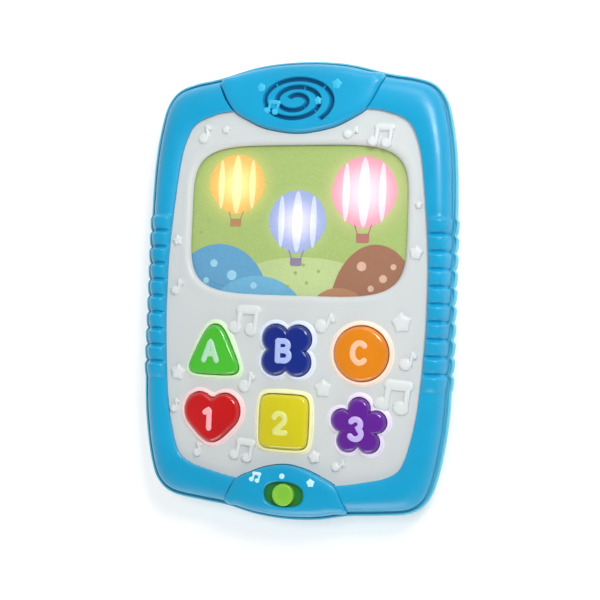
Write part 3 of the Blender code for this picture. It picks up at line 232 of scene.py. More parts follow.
# Raised mounds: share of the plan and of the height
MOUND_STEPS = (
    (1.0, 0.0), (0.97, 0.3), (0.91, 0.55), (0.81, 0.76), (0.66, 0.9), (0.46, 0.97), (0.22, 1.0),
)
STAR_TIPS, STAR_DEPTH, STAR_POINTS, STAR_SOFTENING = 5, 0.58, 80, 22
# Notes in shares of their size: heads as centre and half sizes, strokes as two ends and a width
NOTE_STROKE, HEAD_POINTS, DOT_POINTS = 0.29, 40, 32
NOTE_HEADS = {
    "note": ((-0.10, -0.22, 0.36, 0.32),),
    "beam": ((-0.44, -0.34, 0.29, 0.25), (0.22, -0.34, 0.29, 0.25)),
}
NOTE_STROKES = {
    "note": ((0.16, -0.18, 0.18, 0.44, 0.8), (0.18, 0.42, 0.34, 0.26, 0.9)),
    "beam": (
        (-0.30, -0.32, -0.30, 0.34, 0.8), (0.36, -0.32, 0.36, 0.34, 0.8), (-0.30, 0.36, 0.36, 0.42, 1.3),
    ),
}
# Embossed motifs on the face: kind, place, size and turn in degrees
MOTIF_HEIGHT, MOTIF_SINK = 1.9, 0.2
MOTIFS = (
    ("note", -50.2, 80.6, 9.0, 10), ("star", -38.8, 82.6, 2.9, 80), ("note", 26.8, 80.6, 7.6, -35),
    ("beam", 43.1, 78.8, 10.4, -8), ("star", 62.0, 44.3, 2.6, 95), ("star", 61.5, 20.9, 4.7, 84),
    ("star", -63.0, 25.3, 3.6, 100), ("note", -62.4, 1.0, 7.6, 0), ("beam", -23.6, -14.8, 13.4, -6),
    ("note", 17.0, -14.6, 10.6, -20), ("star", 55.6, -13.4, 6.4, 96), ("star", -60.0, -43.1, 5.2, 84),
    ("note", -22.4, -46.2, 10.0, -4), ("star", 17.6, -47.4, 5.8, 92), ("note", 59.4, -31.6, 9.4, -8),
    ("beam", 54.2, -49.4, 14.6, -8), ("beam", -22.4, -80.6, 10.4, -10), ("note", -47.4, -82.0, 7.0, 20),
    ("note", -60.8, -60.3, 6.6, 10), ("star", 14.4, -81.6, 4.4, 100), ("note", 26.7, -84.7, 6.8, -30),
)
# Marks on the speaker panel, beside and inside the grille, and icons by the slider
MARK_HEIGHT, MARK_SINK, DEEP_MARK_HEIGHT, DEEP_MARK_SINK = 0.9, 0.35, 1.5, 0.95
OUTER_MARKS = (("star", -19.3, 103.1, 2.9, 100), ("star", 19.7, 103.8, 3.4, 80))
GRILLE_MARKS = (("star", 10.4, 95.8, 2.8, 95), ("beam", -12.8, 93.0, 6.4, -12))
ICON_HEIGHT, ICON_SINK = 0.75, 0.5
ICONS = (("beam", -14.4, -93.2, 4.6, -10), ("dot", -0.9, -91.8, 1.45, 0), ("star", 13.8, -94.0, 2.7, 96))

# Picture: step and thickness of the ink layers, and the pools of light as centre, reach and colour
INK_STEP, INK_THICKNESS = 0.016, 0.014
GOLD, LILAC, ROSE = (-33.0, 55.0), (0.0, 36.0), (34.0, 51.0)
POOLS = (
    (GOLD, 25.0, (0.62, 0.36, 0.06)), (ROSE, 27.0, (0.66, 0.30, 0.34)), (LILAC, 22.0, (0.32, 0.34, 0.42)),
)
GLADE = (((6.0, 2.0), 40.0, (0.10, 0.12, 0.05)),)
CARD_GREEN, CARD_LIT = (0.310, 0.430, 0.090), 0.10
INK_LIT, MEADOW_LIT, SKIN_LIT, STRIPE_LIT = 0.12, 0.08, 0.14, 0.16
# Hills from far to near: piece, ink, centre and half sizes, colour, own light and pools
HILLS = (
    ("meadow", "meadow_ink", (4.0, -14.0, 52.0, 32.0), (0.390, 0.500, 0.190), MEADOW_LIT, GLADE),
    ("blue_hills", "blue_hill_ink", (-41.0, -6.0, 27.0, 30.0), (0.050, 0.270, 0.480), INK_LIT, ()),
    ("blue_hill_near", "blue_near_ink", (-20.0, -14.0, 26.0, 22.0), (0.085, 0.350, 0.560), INK_LIT, ()),
    ("brown_hill", "brown_hill_ink", (41.0, -10.0, 23.0, 35.0), (0.270, 0.085, 0.020), INK_LIT, ()),
    ("brown_hill_near", "brown_near_ink", (23.0, -17.0, 18.0, 20.0), (0.370, 0.145, 0.045), INK_LIT, ()),
)
HILL_POINTS, GORE_POINTS, BASKET_POINTS = 120, 40, 40
# Dots on the hills: piece, ink, colour, points round a dot, and places with radii
DOTS_LAYER = 6
DOTS = (
    ("hill_spots", "spot_ink", (0.600, 0.360, 0.260), 32,
     ((34, 14, 2.4), (45, 8, 2.0), (39, 3, 1.6), (50, 14, 1.5))),
    ("hill_dots", "dot_ink", (0.240, 0.540, 0.700), 32,
     ((-44, 14, 2.0), (-34, 8, 2.6), (-48, 5, 1.6), (-22, 3, 1.7))),
    ("grass_dots", "grass_ink", (0.250, 0.360, 0.070), 24,
     ((0, 10, 0.9), (6, 5, 0.9), (-4, 3, 0.9), (12, 11, 0.9), (4, 14, 0.9), (-52, 30, 0.9), (-48, 36, 0.9))),
)
# Balloons: name, centre, half sizes, layer, colours of skin, stripes and basket, the lamp's reach and colour
BALLOONS = (
    ("balloon_gold", GOLD, 15.0, 15.5, 7,
     ((0.780, 0.430, 0.060), (0.840, 0.660, 0.260), (0.380, 0.170, 0.040)), 17.0, (0.62, 0.52, 0.24)),
    ("balloon_rose", ROSE, 16.5, 18.0, 7,
     ((0.740, 0.260, 0.350), (0.840, 0.540, 0.600), (0.380, 0.100, 0.080)), 21.0, (0.80, 0.58, 0.62)),
    ("balloon_lilac", LILAC, 15.0, 16.0, 9,
     ((0.280, 0.350, 0.620), (0.520, 0.580, 0.780), (0.200, 0.140, 0.280)), 16.0, (0.56, 0.46, 0.56)),
)
# In shares of a balloon's half sizes: taper, stripes as place and half sizes, basket, and its two lines
BALLOON_TAPER, BALLOON_STEP = 0.22, 4
GORES = ((-0.56, 0.11, 0.82), (0.56, 0.11, 0.82), (0.0, 0.17, 0.97))
BASKET_X, BASKET_Y, BASKET_DROP, BASKET_SQUARENESS = 0.2, 0.13, 0.28, 6.0
LINE_FOOT, LINE_HEAD, LINE_DROP, LINE_RISE = 0.16, 0.26, 0.2, 0.1
# Half width of a basket's line
LINE_HALF = 0.3

# Camera, solved from the photograph
CAMERA_PLACE = (126.2, -13.8, 481.6)
CAMERA_RIGHT = (0.96530, 0.03826, -0.25833)
CAMERA_UP = (-0.03144, 0.99904, 0.03047)
CAMERA_BACK = (0.25925, -0.02129, 0.96558)
CAMERA_LENS, CAMERA_SENSOR, CAMERA_NEAR = 56.4, 36.0, 0.01

# Floor, in metres: half size, drop below the part, grey shades, scale and detail of their drift
FLOOR_HALF, FLOOR_DROP, FLOOR_ROUGH = 12.0, 0.0004, 0.9
FLOOR_DARK, FLOOR_LIGHT, FLOOR_DRIFT = (0.86, 0.86, 0.86), (0.88, 0.88, 0.88), (3.0, 2.0)
# White that the floor adds for the rays that see it, near the part and far off, and where that changes; the
# smaller amount near the part is painted shade that keeps the floor round it darker
NEAR_SHADE_LIFT, FAR_LIFT, LIFT_START, LIFT_END = 0.25, 0.72, 0.2, 0.8
# The world's light at the horizon and overhead, and its gain for glossy rays
HORIZON_LIGHT, ZENITH_LIGHT, GLOSS_GAIN = 0.84, 0.10, 1.2
# Area lights, in metres and watts: name, place, aim, size, energy and whether glossy rays see it
LIGHTS = (
    ("key", (0.23, 0.25, 0.45), (0.0, 0.02, 0.0), 0.16, 1.4, True),
    ("overhead", (0.05, 0.15, 0.95), (0.0, 0.0, 0.0), 0.28, 2.9, False),
    ("low_fill", (0.0, -0.8, 0.26), (0.0, 0.0, 0.0), 0.5, 2.1, True),
    ("top_fill", (0.12, 0.75, 0.55), (0.0, 0.0, 0.0), 0.4, 1.2, True),
)

# Colours, linear
BLUE = (0.004, 0.328, 0.585)
# Paler blue of the rear case and door: the frame's blue lightened by painted light bounced from the white
# floor
RIM_BOUNCE_BLUE = (0.110, 0.520, 0.710)
# Paler than the panel's blue: painted highlight on the raised marks
MARK_HIGHLIGHT_BLUE = (0.040, 0.480, 0.730)
WHITE = (0.600, 0.634, 0.634)
# Whiter than the face: painted highlight on the raised motifs
MOTIF_LIT_WHITE = (0.670, 0.705, 0.705)
# Darker green of the slider's plate under the slot: the knob's green with painted shade of the recess
GREEN_SHADED = (0.020, 0.190, 0.030)
GREEN_KNOB = (0.230, 0.560, 0.045)
ICON = (0.560, 0.860, 0.920)
# Dark blue of the sheet behind the grille: painted shade seen through the slots
SHADE_SHEET_BLUE = (0.002, 0.080, 0.200)
WINDOW_TINT, WINDOW_ALPHA, WINDOW_ROUGH = (0.95, 0.98, 0.96), 0.04, (0.04, 0.10)

# Surface noise: the range in use, then scale and detail of each kind
NOISE_LOW, NOISE_HIGH = 0.3, 0.7
DRIFT, GLOSS, DOTTING, SMEAR = (22.0, 3.0), (140.0, 4.0), (900.0, 2.0), (60.0, 3.0)
GRAIN_DETAIL, GRAIN_DEPTH, GLOSS_SPREAD, COAT_ROUGH = 2.0, 0.0003, 0.15, 0.08
INK_SHADE, INK_GLOW_SHADE, INK_ROUGH = 0.06, 0.1, 0.55
# Socket numbers of the colour mix node
MIX_FACTOR, MIX_FIRST, MIX_SECOND, MIX_RESULT = 0, 6, 7, 2

# Finishes of the solids that stay as they are: how their names start, material, colour and surface
FINISHES = (
    ("board_screw case_screw door_screw", "screw_steel", (0.46, 0.46, 0.47),
     dict(rough=0.28, metal=1.0, grain=0.06)),
    ("switch_body contact", "contact_steel", (0.62, 0.61, 0.58), dict(rough=0.22, metal=1.0, grain=0.04)),
    ("dome", "dome_rubber", (0.42, 0.42, 0.43), dict(rough=0.75, grain=0.2)),
    ("main_board", "board_green", (0.015, 0.180, 0.050), dict(rough=0.35, shade=0.2, grain=0.1)),
    ("sound_chip", "chip_black", (0.012, 0.012, 0.012), dict(rough=0.45, grain=0.08)),
    ("speaker_basket", "basket_steel", (0.30, 0.30, 0.31), dict(rough=0.35, metal=1.0)),
    ("speaker_magnet", "magnet_black", (0.035, 0.035, 0.037), dict(rough=0.6, grain=0.2)),
    # The cone's navy is painted shade for what shows through the grille slots
    ("speaker_cone", "cone_paper", (0.010, 0.045, 0.085), dict(rough=0.85, grain=0.3, grain_scale=900.0)),
    ("switch_lever", "lever_black", (0.020, 0.020, 0.020), dict(rough=0.4)),
    ("cell", "cell_jacket", (0.200, 0.215, 0.240), dict(rough=0.3, metal=0.6)),
    ("light_box", "tray_white", (0.720, 0.720, 0.700), dict(rough=0.6, grain=0.1)),
    ("led_strip", "strip_white", (0.620, 0.620, 0.580), dict(rough=0.5)),
    ("led_1", "led_amber", (0.850, 0.480, 0.060), dict(rough=0.15)),
    ("led_2", "led_blue", (0.250, 0.330, 0.850), dict(rough=0.15)),
    ("led_3", "led_pink", (0.850, 0.240, 0.420), dict(rough=0.15)),
    ("speaker_lead_1", "lead_red", (0.520, 0.015, 0.015), dict(rough=0.45)),
    ("speaker_lead_2", "lead_black", (0.018, 0.018, 0.018), dict(rough=0.45)),
    ("battery_lead_1", "lead_red_2", (0.520, 0.015, 0.015), dict(rough=0.45)),
    ("battery_lead_2", "lead_black_2", (0.018, 0.018, 0.018), dict(rough=0.45)),
)


def place(points):
    """Drawing millimetres to the row's metres."""
    moved = np.asarray(points, float) - np.array([0.0, SHIFT_Y, 0.0])
    return moved * MM


def box_mm(node):
    """A CAD node's lowest and highest corner, in drawing millimetres."""
    low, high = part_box(node)
    shift = np.array([0.0, SHIFT_Y, 0.0])
    return np.array(low) / MM + shift, np.array(high) / MM + shift


def add_object(name, data):
    obj = bpy.data.objects.new(name, data)
    bpy.context.scene.collection.objects.link(obj)
    return obj


def stand(obj, right, up, back, spot):
    """Puts a camera or a light at a place in metres, with its three axes."""
    matrix = Matrix.Identity(4)
    for row in range(3):
        matrix[row] = (right[row], up[row], back[row], spot[row])
    obj.matrix_world = matrix


def new_material(name):
    material = bpy.data.materials.new(name)
    material.use_nodes = True
    tree = material.node_tree
    coords = tree.nodes.new("ShaderNodeTexCoord").outputs["Object"]
    return material, tree, tree.nodes["Principled BSDF"], coords


def noise(tree, coords, scale, detail):
    node = tree.nodes.new("ShaderNodeTexNoise")
    node.inputs["Scale"].default_value = scale
    node.inputs["Detail"].default_value = detail
    tree.links.new(coords, node.inputs["Vector"])
    return node.outputs["Fac"]


def map_range(tree, source, start, end, low, high):
    node = tree.nodes.new("ShaderNodeMapRange")
    for key, value in (("From Min", start), ("From Max", end), ("To Min", low), ("To Max", high)):
        node.inputs[key].default_value = value
    tree.links.new(source, node.inputs["Value"])
    return node


def spread(tree, source, low, high):
    """Maps a noise value to a range."""
    return map_range(tree, source, NOISE_LOW, NOISE_HIGH, low, high).outputs["Result"]


def combine(tree, operation, first, second):
    node = tree.nodes.new("ShaderNodeMath")
    node.operation = operation
    tree.links.new(first, node.inputs[0])
    tree.links.new(second, node.inputs[1])
    return node.outputs["Value"]


def measure(tree, coords, operation):
    node = tree.nodes.new("ShaderNodeVectorMath")
    node.operation = operation
    tree.links.new(coords, node.inputs[0])
    return node


def mix_colours(tree, factor, first, second):
    node = tree.nodes.new("ShaderNodeMix")
    node.data_type = "RGBA"
    node.inputs[MIX_FIRST].default_value = (*first, 1.0)
    node.inputs[MIX_SECOND].default_value = (*second, 1.0)
    tree.links.new(factor, node.inputs[MIX_FACTOR])
    return node


def shades(colour, share):
    """A darker and a lighter shade of a colour."""
    return [c * (1 - share) for c in colour], [min(1.0, c * (1 + share)) for c in colour]


def vary_colour(tree, shader, source, darker, lighter):
    """Lets the base colour drift between two shades, and gives the drift back."""
    drift = spread(tree, source, 0.0, 1.0)
    mix = mix_colours(tree, drift, darker, lighter)
    tree.links.new(mix.outputs[MIX_RESULT], shader.inputs["Base Color"])
    return drift


def moulded(name, colour, rough=0.32, shade=0.07, grain=0.03, coat=0.0, metal=0.0, grain_scale=1500.0):
    """Moulded plastic or plain metal: slow colour drift, uneven gloss and a fine surface grain."""
    material, tree, shader, coords = new_material(name)
    vary_colour(tree, shader, noise(tree, coords, *DRIFT), *shades(colour, shade))
    low, high = (1 - GLOSS_SPREAD) * rough, (1 + GLOSS_SPREAD) * rough
    tree.links.new(spread(tree, noise(tree, coords, *GLOSS), low, high), shader.inputs["Roughness"])
    bump = tree.nodes.new("ShaderNodeBump")
    bump.inputs["Strength"].default_value = grain
    bump.inputs["Distance"].default_value = GRAIN_DEPTH
    tree.links.new(noise(tree, coords, grain_scale, GRAIN_DETAIL), bump.inputs["Height"])
    tree.links.new(bump.outputs["Normal"], shader.inputs["Normal"])
    shader.inputs["Metallic"].default_value = metal
    shader.inputs["Coat Weight"].default_value = coat
    shader.inputs["Coat Roughness"].default_value = COAT_ROUGH
    return material


def painted_glow(name, colour, strength):
    """Tinted plastic with a painted glow: it gives off a little light in its own colour."""
    material = moulded(name, colour, rough=0.3, coat=0.1)
    shader = material.node_tree.nodes["Principled BSDF"]
    shader.inputs["Emission Color"].default_value = (*colour, 1.0)
    shader.inputs["Emission Strength"].default_value = strength
    return material


def printed(name, colour, lit=INK_LIT, lamps=()):
    """Printed card, evenly back-lit, with a brighter pool round each lamp: centre, reach and colour."""
    material, tree, shader, coords = new_material(name)
    drift = vary_colour(tree, shader, noise(tree, coords, *DOTTING), *shades(colour, INK_SHADE))
    dim = [c * lit for c in colour]
    shine = mix_colours(tree, drift, *shades(dim, INK_GLOW_SHADE)).outputs[MIX_RESULT]
    for centre, reach, lamp_colour in lamps:
        away = measure(tree, coords, "DISTANCE")
        away.inputs[1].default_value = tuple(place((*centre, CARD_TOP)))
        near = map_range(tree, away.outputs["Value"], reach * MM, 0.0, 0.0, 1.0)
        near.interpolation_type = "SMOOTHERSTEP"
        blend = mix_colours(tree, near.outputs["Result"], dim, lamp_colour)
        tree.links.new(shine, blend.inputs[MIX_FIRST])
        shine = blend.outputs[MIX_RESULT]
    tree.links.new(shine, shader.inputs["Emission Color"])
    shader.inputs["Emission Strength"].default_value = 1.0
    shader.inputs["Roughness"].default_value = INK_ROUGH
    return material


def loft_faces(count, size, closed):
    faces = []
    for row in range(count if closed else count - 1):
        low = row * size
        high = ((row + 1) % count) * size
        faces += [(low + k, low + (k + 1) % size, high + (k + 1) % size, high + k) for k in range(size)]
    if not closed:
        last = (count - 1) * size
        faces.append(tuple(size - 1 - k for k in range(size)))
        faces.append(tuple(last + k for k in range(size)))
    return faces


def outward_faces(points, faces):
    """Turns all faces round where the closed mesh is inside out."""
    volume = 0.0
    pts = np.asarray(points)
    for face in faces:
        for k in range(1, len(face) - 1):
            volume += np.dot(pts[face[0]], np.cross(pts[face[k]], pts[face[k + 1]]))
    return faces if volume > 0 else [tuple(reversed(face)) for face in faces]


class Shape:
    """Points and faces gathered from several closed lofts."""

    def __init__(self):
        self.points = []
        self.faces = []

    def loft(self, loops, closed=False):
        """loops are arrays of (x, y, z) rows, all of one length."""
        points = np.concatenate(loops)
        faces = outward_faces(points, loft_faces(len(loops), len(loops[0]), closed))
        first = len(self.points)
        self.points += list(points)
        self.faces += [tuple(first + k for k in face) for face in faces]
        return self

    def build(self, name):
        mesh = bpy.data.meshes.new(name)
        mesh.from_pydata([tuple(p) for p in place(self.points)], [], self.faces)
        mesh.validate()
        return add_object(name, mesh)


def level(loop, z):
    return np.column_stack([loop, np.full(len(loop), float(z))])


def lofted(name, loops, closed=False):
    return Shape().loft([level(loop, z) for loop, z in loops], closed).build(name)


def boolean(obj, tool, operation="DIFFERENCE"):
    modifier = obj.modifiers.new("cut", "BOOLEAN")
    modifier.operation = operation
    modifier.solver = "EXACT"
    modifier.object = tool
    graph = bpy.context.evaluated_depsgraph_get()
    mesh = bpy.data.meshes.new_from_object(obj.evaluated_get(graph))
    obj.modifiers.clear()
    old = obj.data
    obj.data = mesh
    bpy.data.meshes.remove(old)
    bpy.data.objects.remove(tool, do_unlink=True)


def cut_through(obj, loop, low, high):
    boolean(obj, lofted("tool", [(loop, low), (loop, high)]))


def dress(obj, material, body, replaces=None, angle=CREASE):
    """Gives a new piece its material, its shading and the body it rides on."""
    mesh = obj.data
    mesh.materials.clear()
    mesh.materials.append(material)
    mesh.polygons.foreach_set("use_smooth", [True] * len(mesh.polygons))
    mesh.set_sharp_from_angle(angle=math.radians(angle))
    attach(obj, body)
    if replaces:
        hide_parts(replaces)


def catmull_rom(points, steps):
    """Smooth curve whose ends meet their own mirror images across X = 0."""
    points = np.asarray(points, float)
    count = len(points)
    flip = np.array([-1.0, 1.0])
    curve = []
    for k in range(count - 1):
        start, end = points[k], points[k + 1]
        before = points[k - 1] if k else points[1] * flip
        after = points[k + 2] if k + 2 < count else points[-2] * flip
        for step in range(steps):
            t = step / steps
            curve.append(0.5 * (
                2 * start + (end - before) * t + (2 * before - 5 * start + 4 * end - after) * t ** 2
                + (3 * start - before - 3 * end + after) * t ** 3
            ))
    curve.append(points[-1])
    return np.array(curve)


def arc_length(curve):
    return np.concatenate([[0.0], np.cumsum(np.linalg.norm(np.diff(curve, axis=0), axis=1))])


def at_arc(curve, places):
    along = arc_length(curve)
    return np.stack([np.interp(places, along, curve[:, k]) for k in range(curve.shape[1])], axis=1)


def right_half(shape, half_width, top, bottom):
    return catmull_rom([(x * half_width, y * (top if y > 0 else bottom)) for x, y in shape], OUTLINE_STEPS)


def mirrored(half):
    return np.concatenate([half, half[-2:0:-1] * np.array([-1.0, 1.0])])


def outward(half):
    whole = mirrored(half)
    along = np.roll(whole, -1, axis=0) - np.roll(whole, 1, axis=0)
    normal = np.stack([-along[:, 1], along[:, 0]], axis=1)
    normal /= np.linalg.norm(normal, axis=1)[:, None]
    return normal[: len(half)]


def directions(line):
    along = np.gradient(line, axis=0)
    return along / np.linalg.norm(along, axis=1)[:, None]


def smooth_step(low, high, value):
    t = np.clip((value - low) / (high - low), 0.0, 1.0)
    return t * t * (3 - 2 * t)


class Outline:
    """Matching points on the case outline and the face edge, with ribs along the sides."""

    def __init__(self):
        self.curve = right_half(OUTLINE_SHAPE, HALF_WIDTH, TOP_REACH, BOTTOM_REACH)
        inner = right_half(FACE_SHAPE, FACE_HALF_WIDTH, FACE_TOP_REACH, FACE_BOTTOM_REACH)
        steps = np.arange(RIB_COUNT * RIB_POINTS + 1) / RIB_POINTS
        rib_ys = RIB_TOP_Y - steps * RIB_PITCH
        part = steps % 1.0
        fall = np.clip((part - RIB_RISE) / (1.0 - RIB_RISE), 0.0, 1.0)
        rib = smooth_step(0.0, RIB_RISE, part) * (1.0 - fall ** RIB_FALL)
        nearest = np.clip(np.round(steps), 1, RIB_COUNT - 1)
        rib -= RIB_NOTCH * np.exp(-((steps - nearest) / RIB_NOTCH_WIDTH) ** 2)
        self.outer = self.sample(self.curve, rib_ys)
        self.inner = self.sample(inner, rib_ys)
        self.rib = np.concatenate([np.zeros(POINTS_ABOVE), rib, np.zeros(POINTS_BELOW)])
        self.normals = outward(self.outer)
        self.face_normals = outward(self.inner)

    def sample(self, curve, rib_ys):
        along = arc_length(curve)
        ribs = np.interp(-rib_ys, -curve[:, 1], along)
        above = np.linspace(0.0, ribs[0], POINTS_ABOVE + 1)[:-1]
        below = np.linspace(ribs[-1], along[-1], POINTS_BELOW + 1)[1:]
        return at_arc(curve, np.concatenate([above, ribs, below]))

    def out(self, offset, z, rib):
        shift = offset + rib * RIB_HEIGHT * self.rib
        return level(mirrored(self.outer + self.normals * shift[:, None]), z)

    def face(self, offset, z):
        return level(mirrored(self.inner + self.face_normals * offset), z)

    def between(self, share, z, rib_out, rib_up):
        outer = self.outer + self.normals * (rib_out * RIB_HEIGHT * self.rib)[:, None]
        half = outer * (1 - share) + self.inner * share
        loop = level(mirrored(half), z)
        weights = np.concatenate([self.rib, self.rib[-2:0:-1]])
        loop[:, 2] += rib_up * RIB_UP * weights
        return loop


def turns_round(count):
    return np.arange(count) * 2 * math.pi / count


def circle(radius, centre, count):
    turn = turns_round(count)
    return np.stack([centre[0] + radius * np.cos(turn), centre[1] + radius * np.sin(turn)], axis=1)


def ellipse(centre, half_x, half_y, count):
    return np.array(centre) + circle(1.0, (0.0, 0.0), count) * np.array([half_x, half_y])


def rounded(half_x, half_y, centre, squareness, count):
    turn = turns_round(count)
    c, s = np.cos(turn), np.sin(turn)
    x = centre[0] + half_x * np.sign(c) * np.abs(c) ** (2 / squareness)
    y = centre[1] + half_y * np.sign(s) * np.abs(s) ** (2 / squareness)
    return np.stack([x, y], axis=1)


def rectangle(half_x, half_y, centre):
    corners = ((1, -1), (1, 1), (-1, 1), (-1, -1))
    return np.array([(centre[0] + sx * half_x, centre[1] + sy * half_y) for sx, sy in corners])


def even(loop, count):
    """The same closed loop with evenly spaced points."""
    ring = np.concatenate([loop, loop[:1]])
    return at_arc(ring, np.linspace(0, arc_length(ring)[-1], count + 1)[:-1])


def screen_loop(margin):
    half_x, half_y = SCREEN_HALF_WIDTH + margin, SCREEN_HALF_HEIGHT + margin
    loop = rounded(half_x, half_y, (0.0, SCREEN_Y), SCREEN_SQUARENESS, SCREEN_SAMPLES)
    return even(loop, SCREEN_POINTS)


def opening_loop(margin):
    half_x, half_y = OPENING_HALF_WIDTH + margin, OPENING_HALF_HEIGHT + margin
    loop = rounded(half_x, half_y, (0.0, OPENING_Y), SCREEN_SQUARENESS, SCREEN_SAMPLES)
    return even(loop, OPENING_POINTS)


def polar_loop(radius_at):
    turn = turns_round(BUTTON_POINTS)
    radius = np.array([radius_at(angle) for angle in turn])
    return np.stack([radius * np.cos(turn), radius * np.sin(turn)], axis=1)


def lobed_loop(count, ring, lobe, first_turn):
    """Ring of round lobes that meet in notches."""
    step = 2 * math.pi / count

    def reach(angle):
        away = (angle - first_turn + step / 2) % step - step / 2
        return ring * math.cos(away) + math.sqrt(lobe ** 2 - (ring * math.sin(away)) ** 2)

    return polar_loop(reach)


def by_angle(curve):
    """A star-shaped loop sampled at even angles."""
    angle = np.arctan2(curve[:, 1], curve[:, 0]) % (2 * math.pi)
    order = np.argsort(angle)
    reach = np.linalg.norm(curve, axis=1)
    return polar_loop(lambda a: float(np.interp(a, angle[order], reach[order], period=2 * math.pi)))


def grown(loop, margin):
    radius = np.linalg.norm(loop, axis=1)
    return loop * (1 + margin / radius)[:, None]


def arc(cx, cy, rx, ry, start, end, count=16):
    turns = np.radians(np.linspace(start, end, count))
    return [(cx + rx * math.cos(t), cy + ry * math.sin(t)) for t in turns]


def ribbon(shape, path, width, height, base_z):
    """Raised stroke with a rounded top and round ends, added to a shape."""
    path = np.asarray(path, float)
    total = arc_length(path)[-1]
    count = max(STROKE_LEAST, int(total / (STROKE_SPACING * width)))
    line = at_arc(path, np.linspace(0, total, count))
    along = directions(line)
    ends = np.radians(STROKE_ENDS)
    spots = [(line[0] - along[0] * 0.5 * width * math.sin(t), along[0], math.cos(t)) for t in ends[::-1]]
    spots += [(p, d, 1.0) for p, d in zip(line, along)]
    spots += [(line[-1] + along[-1] * 0.5 * width * math.sin(t), along[-1], math.cos(t)) for t in ends]
    loops = []
    for spot, ahead, scale in spots:
        side = np.array([ahead[1], -ahead[0]])
        rows = []
        for turn in np.radians(np.linspace(0, 180, STROKE_ARCH)):
            full = math.copysign(abs(math.cos(turn)) ** STROKE_FULLNESS, math.cos(turn))
            across = 0.5 * width * scale * full
            rise = height * math.sin(turn) ** STROKE_FULLNESS * scale ** 0.5
            rows.append((*(spot + side * across), base_z + rise))
        loops.append(np.array(rows))
    shape.loft(loops)


def star_loop(centre, radius, turn):
    """Star with softened tips."""
    corners = []
    for k in range(2 * STAR_TIPS):
        reach = radius if k % 2 == 0 else radius * STAR_DEPTH
        angle = math.radians(turn + 180.0 * k / STAR_TIPS)
        corners.append((reach * math.cos(angle), reach * math.sin(angle)))
    loop = even(np.array(corners), STAR_POINTS)
    for _ in range(STAR_SOFTENING):
        loop = (np.roll(loop, 1, axis=0) + 2 * loop + np.roll(loop, -1, axis=0)) / 4
    return loop + np.array(centre)


def mound(shape, loop, base_z, height):
    """Low raised form with a rounded edge over a star-shaped loop."""
    middle = loop.mean(axis=0)
    shape.loft([level(middle + (loop - middle) * s, base_z + height * h) for s, h in MOUND_STEPS])


def note(shape, kind, centre, size, turn, base_z, height):
    """Music note: one head with a tail, or two heads under a beam."""
    spin = math.radians(turn)
    matrix = np.array([[math.cos(spin), math.sin(spin)], [-math.sin(spin), math.cos(spin)]])

    def put(points):
        return np.asarray(points, float) * size @ matrix + np.array(centre)

    stroke = NOTE_STROKE * size
    for x, y, half_x, half_y in NOTE_HEADS[kind]:
        mound(shape, put(ellipse((x, y), half_x, half_y, HEAD_POINTS)), base_z, height)
    for x, y, end_x, end_y, share in NOTE_STROKES[kind]:
        ribbon(shape, put([(x, y), (end_x, end_y)]), share * stroke, height, base_z)


def add_motifs(shape, motifs, base_z, height):
    for kind, x, y, size, turn in motifs:
        if kind == "star":
            mound(shape, star_loop((x, y), size, turn), base_z, height)
        elif kind == "dot":
            mound(shape, circle(size, (x, y), DOT_POINTS), base_z, height)
        else:
            note(shape, kind, (x, y), size, turn, base_z, height)


def panel_half(outline, half_width, inner_y, shape, sign):
    """One side of an end panel's plan: along the case's outline, then back along the seam."""
    curve = outline.curve[::sign]
    normal = outward(outline.curve)[::sign]
    corner = np.argmax(curve[:, 0] >= half_width)
    rows = np.linspace(0, corner, PANEL_ROWS).astype(int)
    outer = curve[rows] + normal[rows] * PANEL_LIP
    outer[0, 0] = 0.0
    start_y = outer[-1, 1]
    inner = np.array([(x * half_width, start_y + y * (inner_y - start_y)) for x, y in shape])
    dense = catmull_rom(np.concatenate([outer, inner]), PANEL_STEPS)
    return at_arc(dense, np.linspace(0, arc_length(dense)[-1], PANEL_POINTS))


def panel_loop(half, inset):
    low, high = half[:, 1].min(), half[:, 1].max()
    middle = np.array([0.0, (low + high) / 2])
    shrink = 1 - inset / np.array([half[:, 0].max(), (high - low) / 2])
    return mirrored(middle + (half - middle) * shrink)


def screw_hole(shape, node, heights, count):
    """Adds a countersunk hole round a screw."""
    low, high = box_mm(node)
    spot = (low[:2] + high[:2]) / 2
    rim, head, shank = [circle(radius, spot, count) for radius in SCREW_RADII]
    edge, chamfer, seat, end = heights
    steps = ((rim, -CUT_REACH), (rim, edge), (head, chamfer), (head, seat), (shank, seat), (shank, end))
    shape.loft([level(loop, z) for loop, z in steps])


def door_plan(margin):
    low, high = box_mm("battery_door")
    half_x, half_y = (high[0] - low[0]) / 2 + margin, (high[1] - low[1]) / 2 + margin
    centre = ((low[0] + high[0]) / 2, (low[1] + high[1]) / 2)
    return rounded(half_x, half_y, centre, DOOR_SQUARENESS, DOOR_POINTS)


def make_rear_case(outline):
    case = Shape().loft([outline.out(*row) for row in CASE_PROFILE]).build("case_back")
    _, door_high = box_mm("battery_door")
    bay_high = door_high[1] + BAY_LEDGE
    bay_low = SCREEN_Y - POCKET_Y - BAY_WALL
    bay = rectangle(POCKET_X + BAY_WALL, (bay_high - bay_low) / 2, (0.0, (bay_low + bay_high) / 2))
    boolean(case, lofted("tool", [(bay, BAY_Z), (bay, BAY_TOP)]), "UNION")
    cut_through(case, rectangle(POCKET_X, POCKET_Y, (0.0, SCREEN_Y)), BAY_Z, POCKET_TOP)
    cut_through(case, door_plan(GAP), -CUT_REACH, FLOOR)
    holes = Shape()
    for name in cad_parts:
        if name.startswith("case_screw"):
            screw_hole(holes, name, CASE_HOLE, CASE_HOLE_POINTS)
    boolean(case, holes.build("tool"))
    # The rear case's paler blue is painted floor bounce light
    dress(case, moulded("rear_blue", RIM_BOUNCE_BLUE, rough=0.38, grain=0.10), "case", "rear_case")


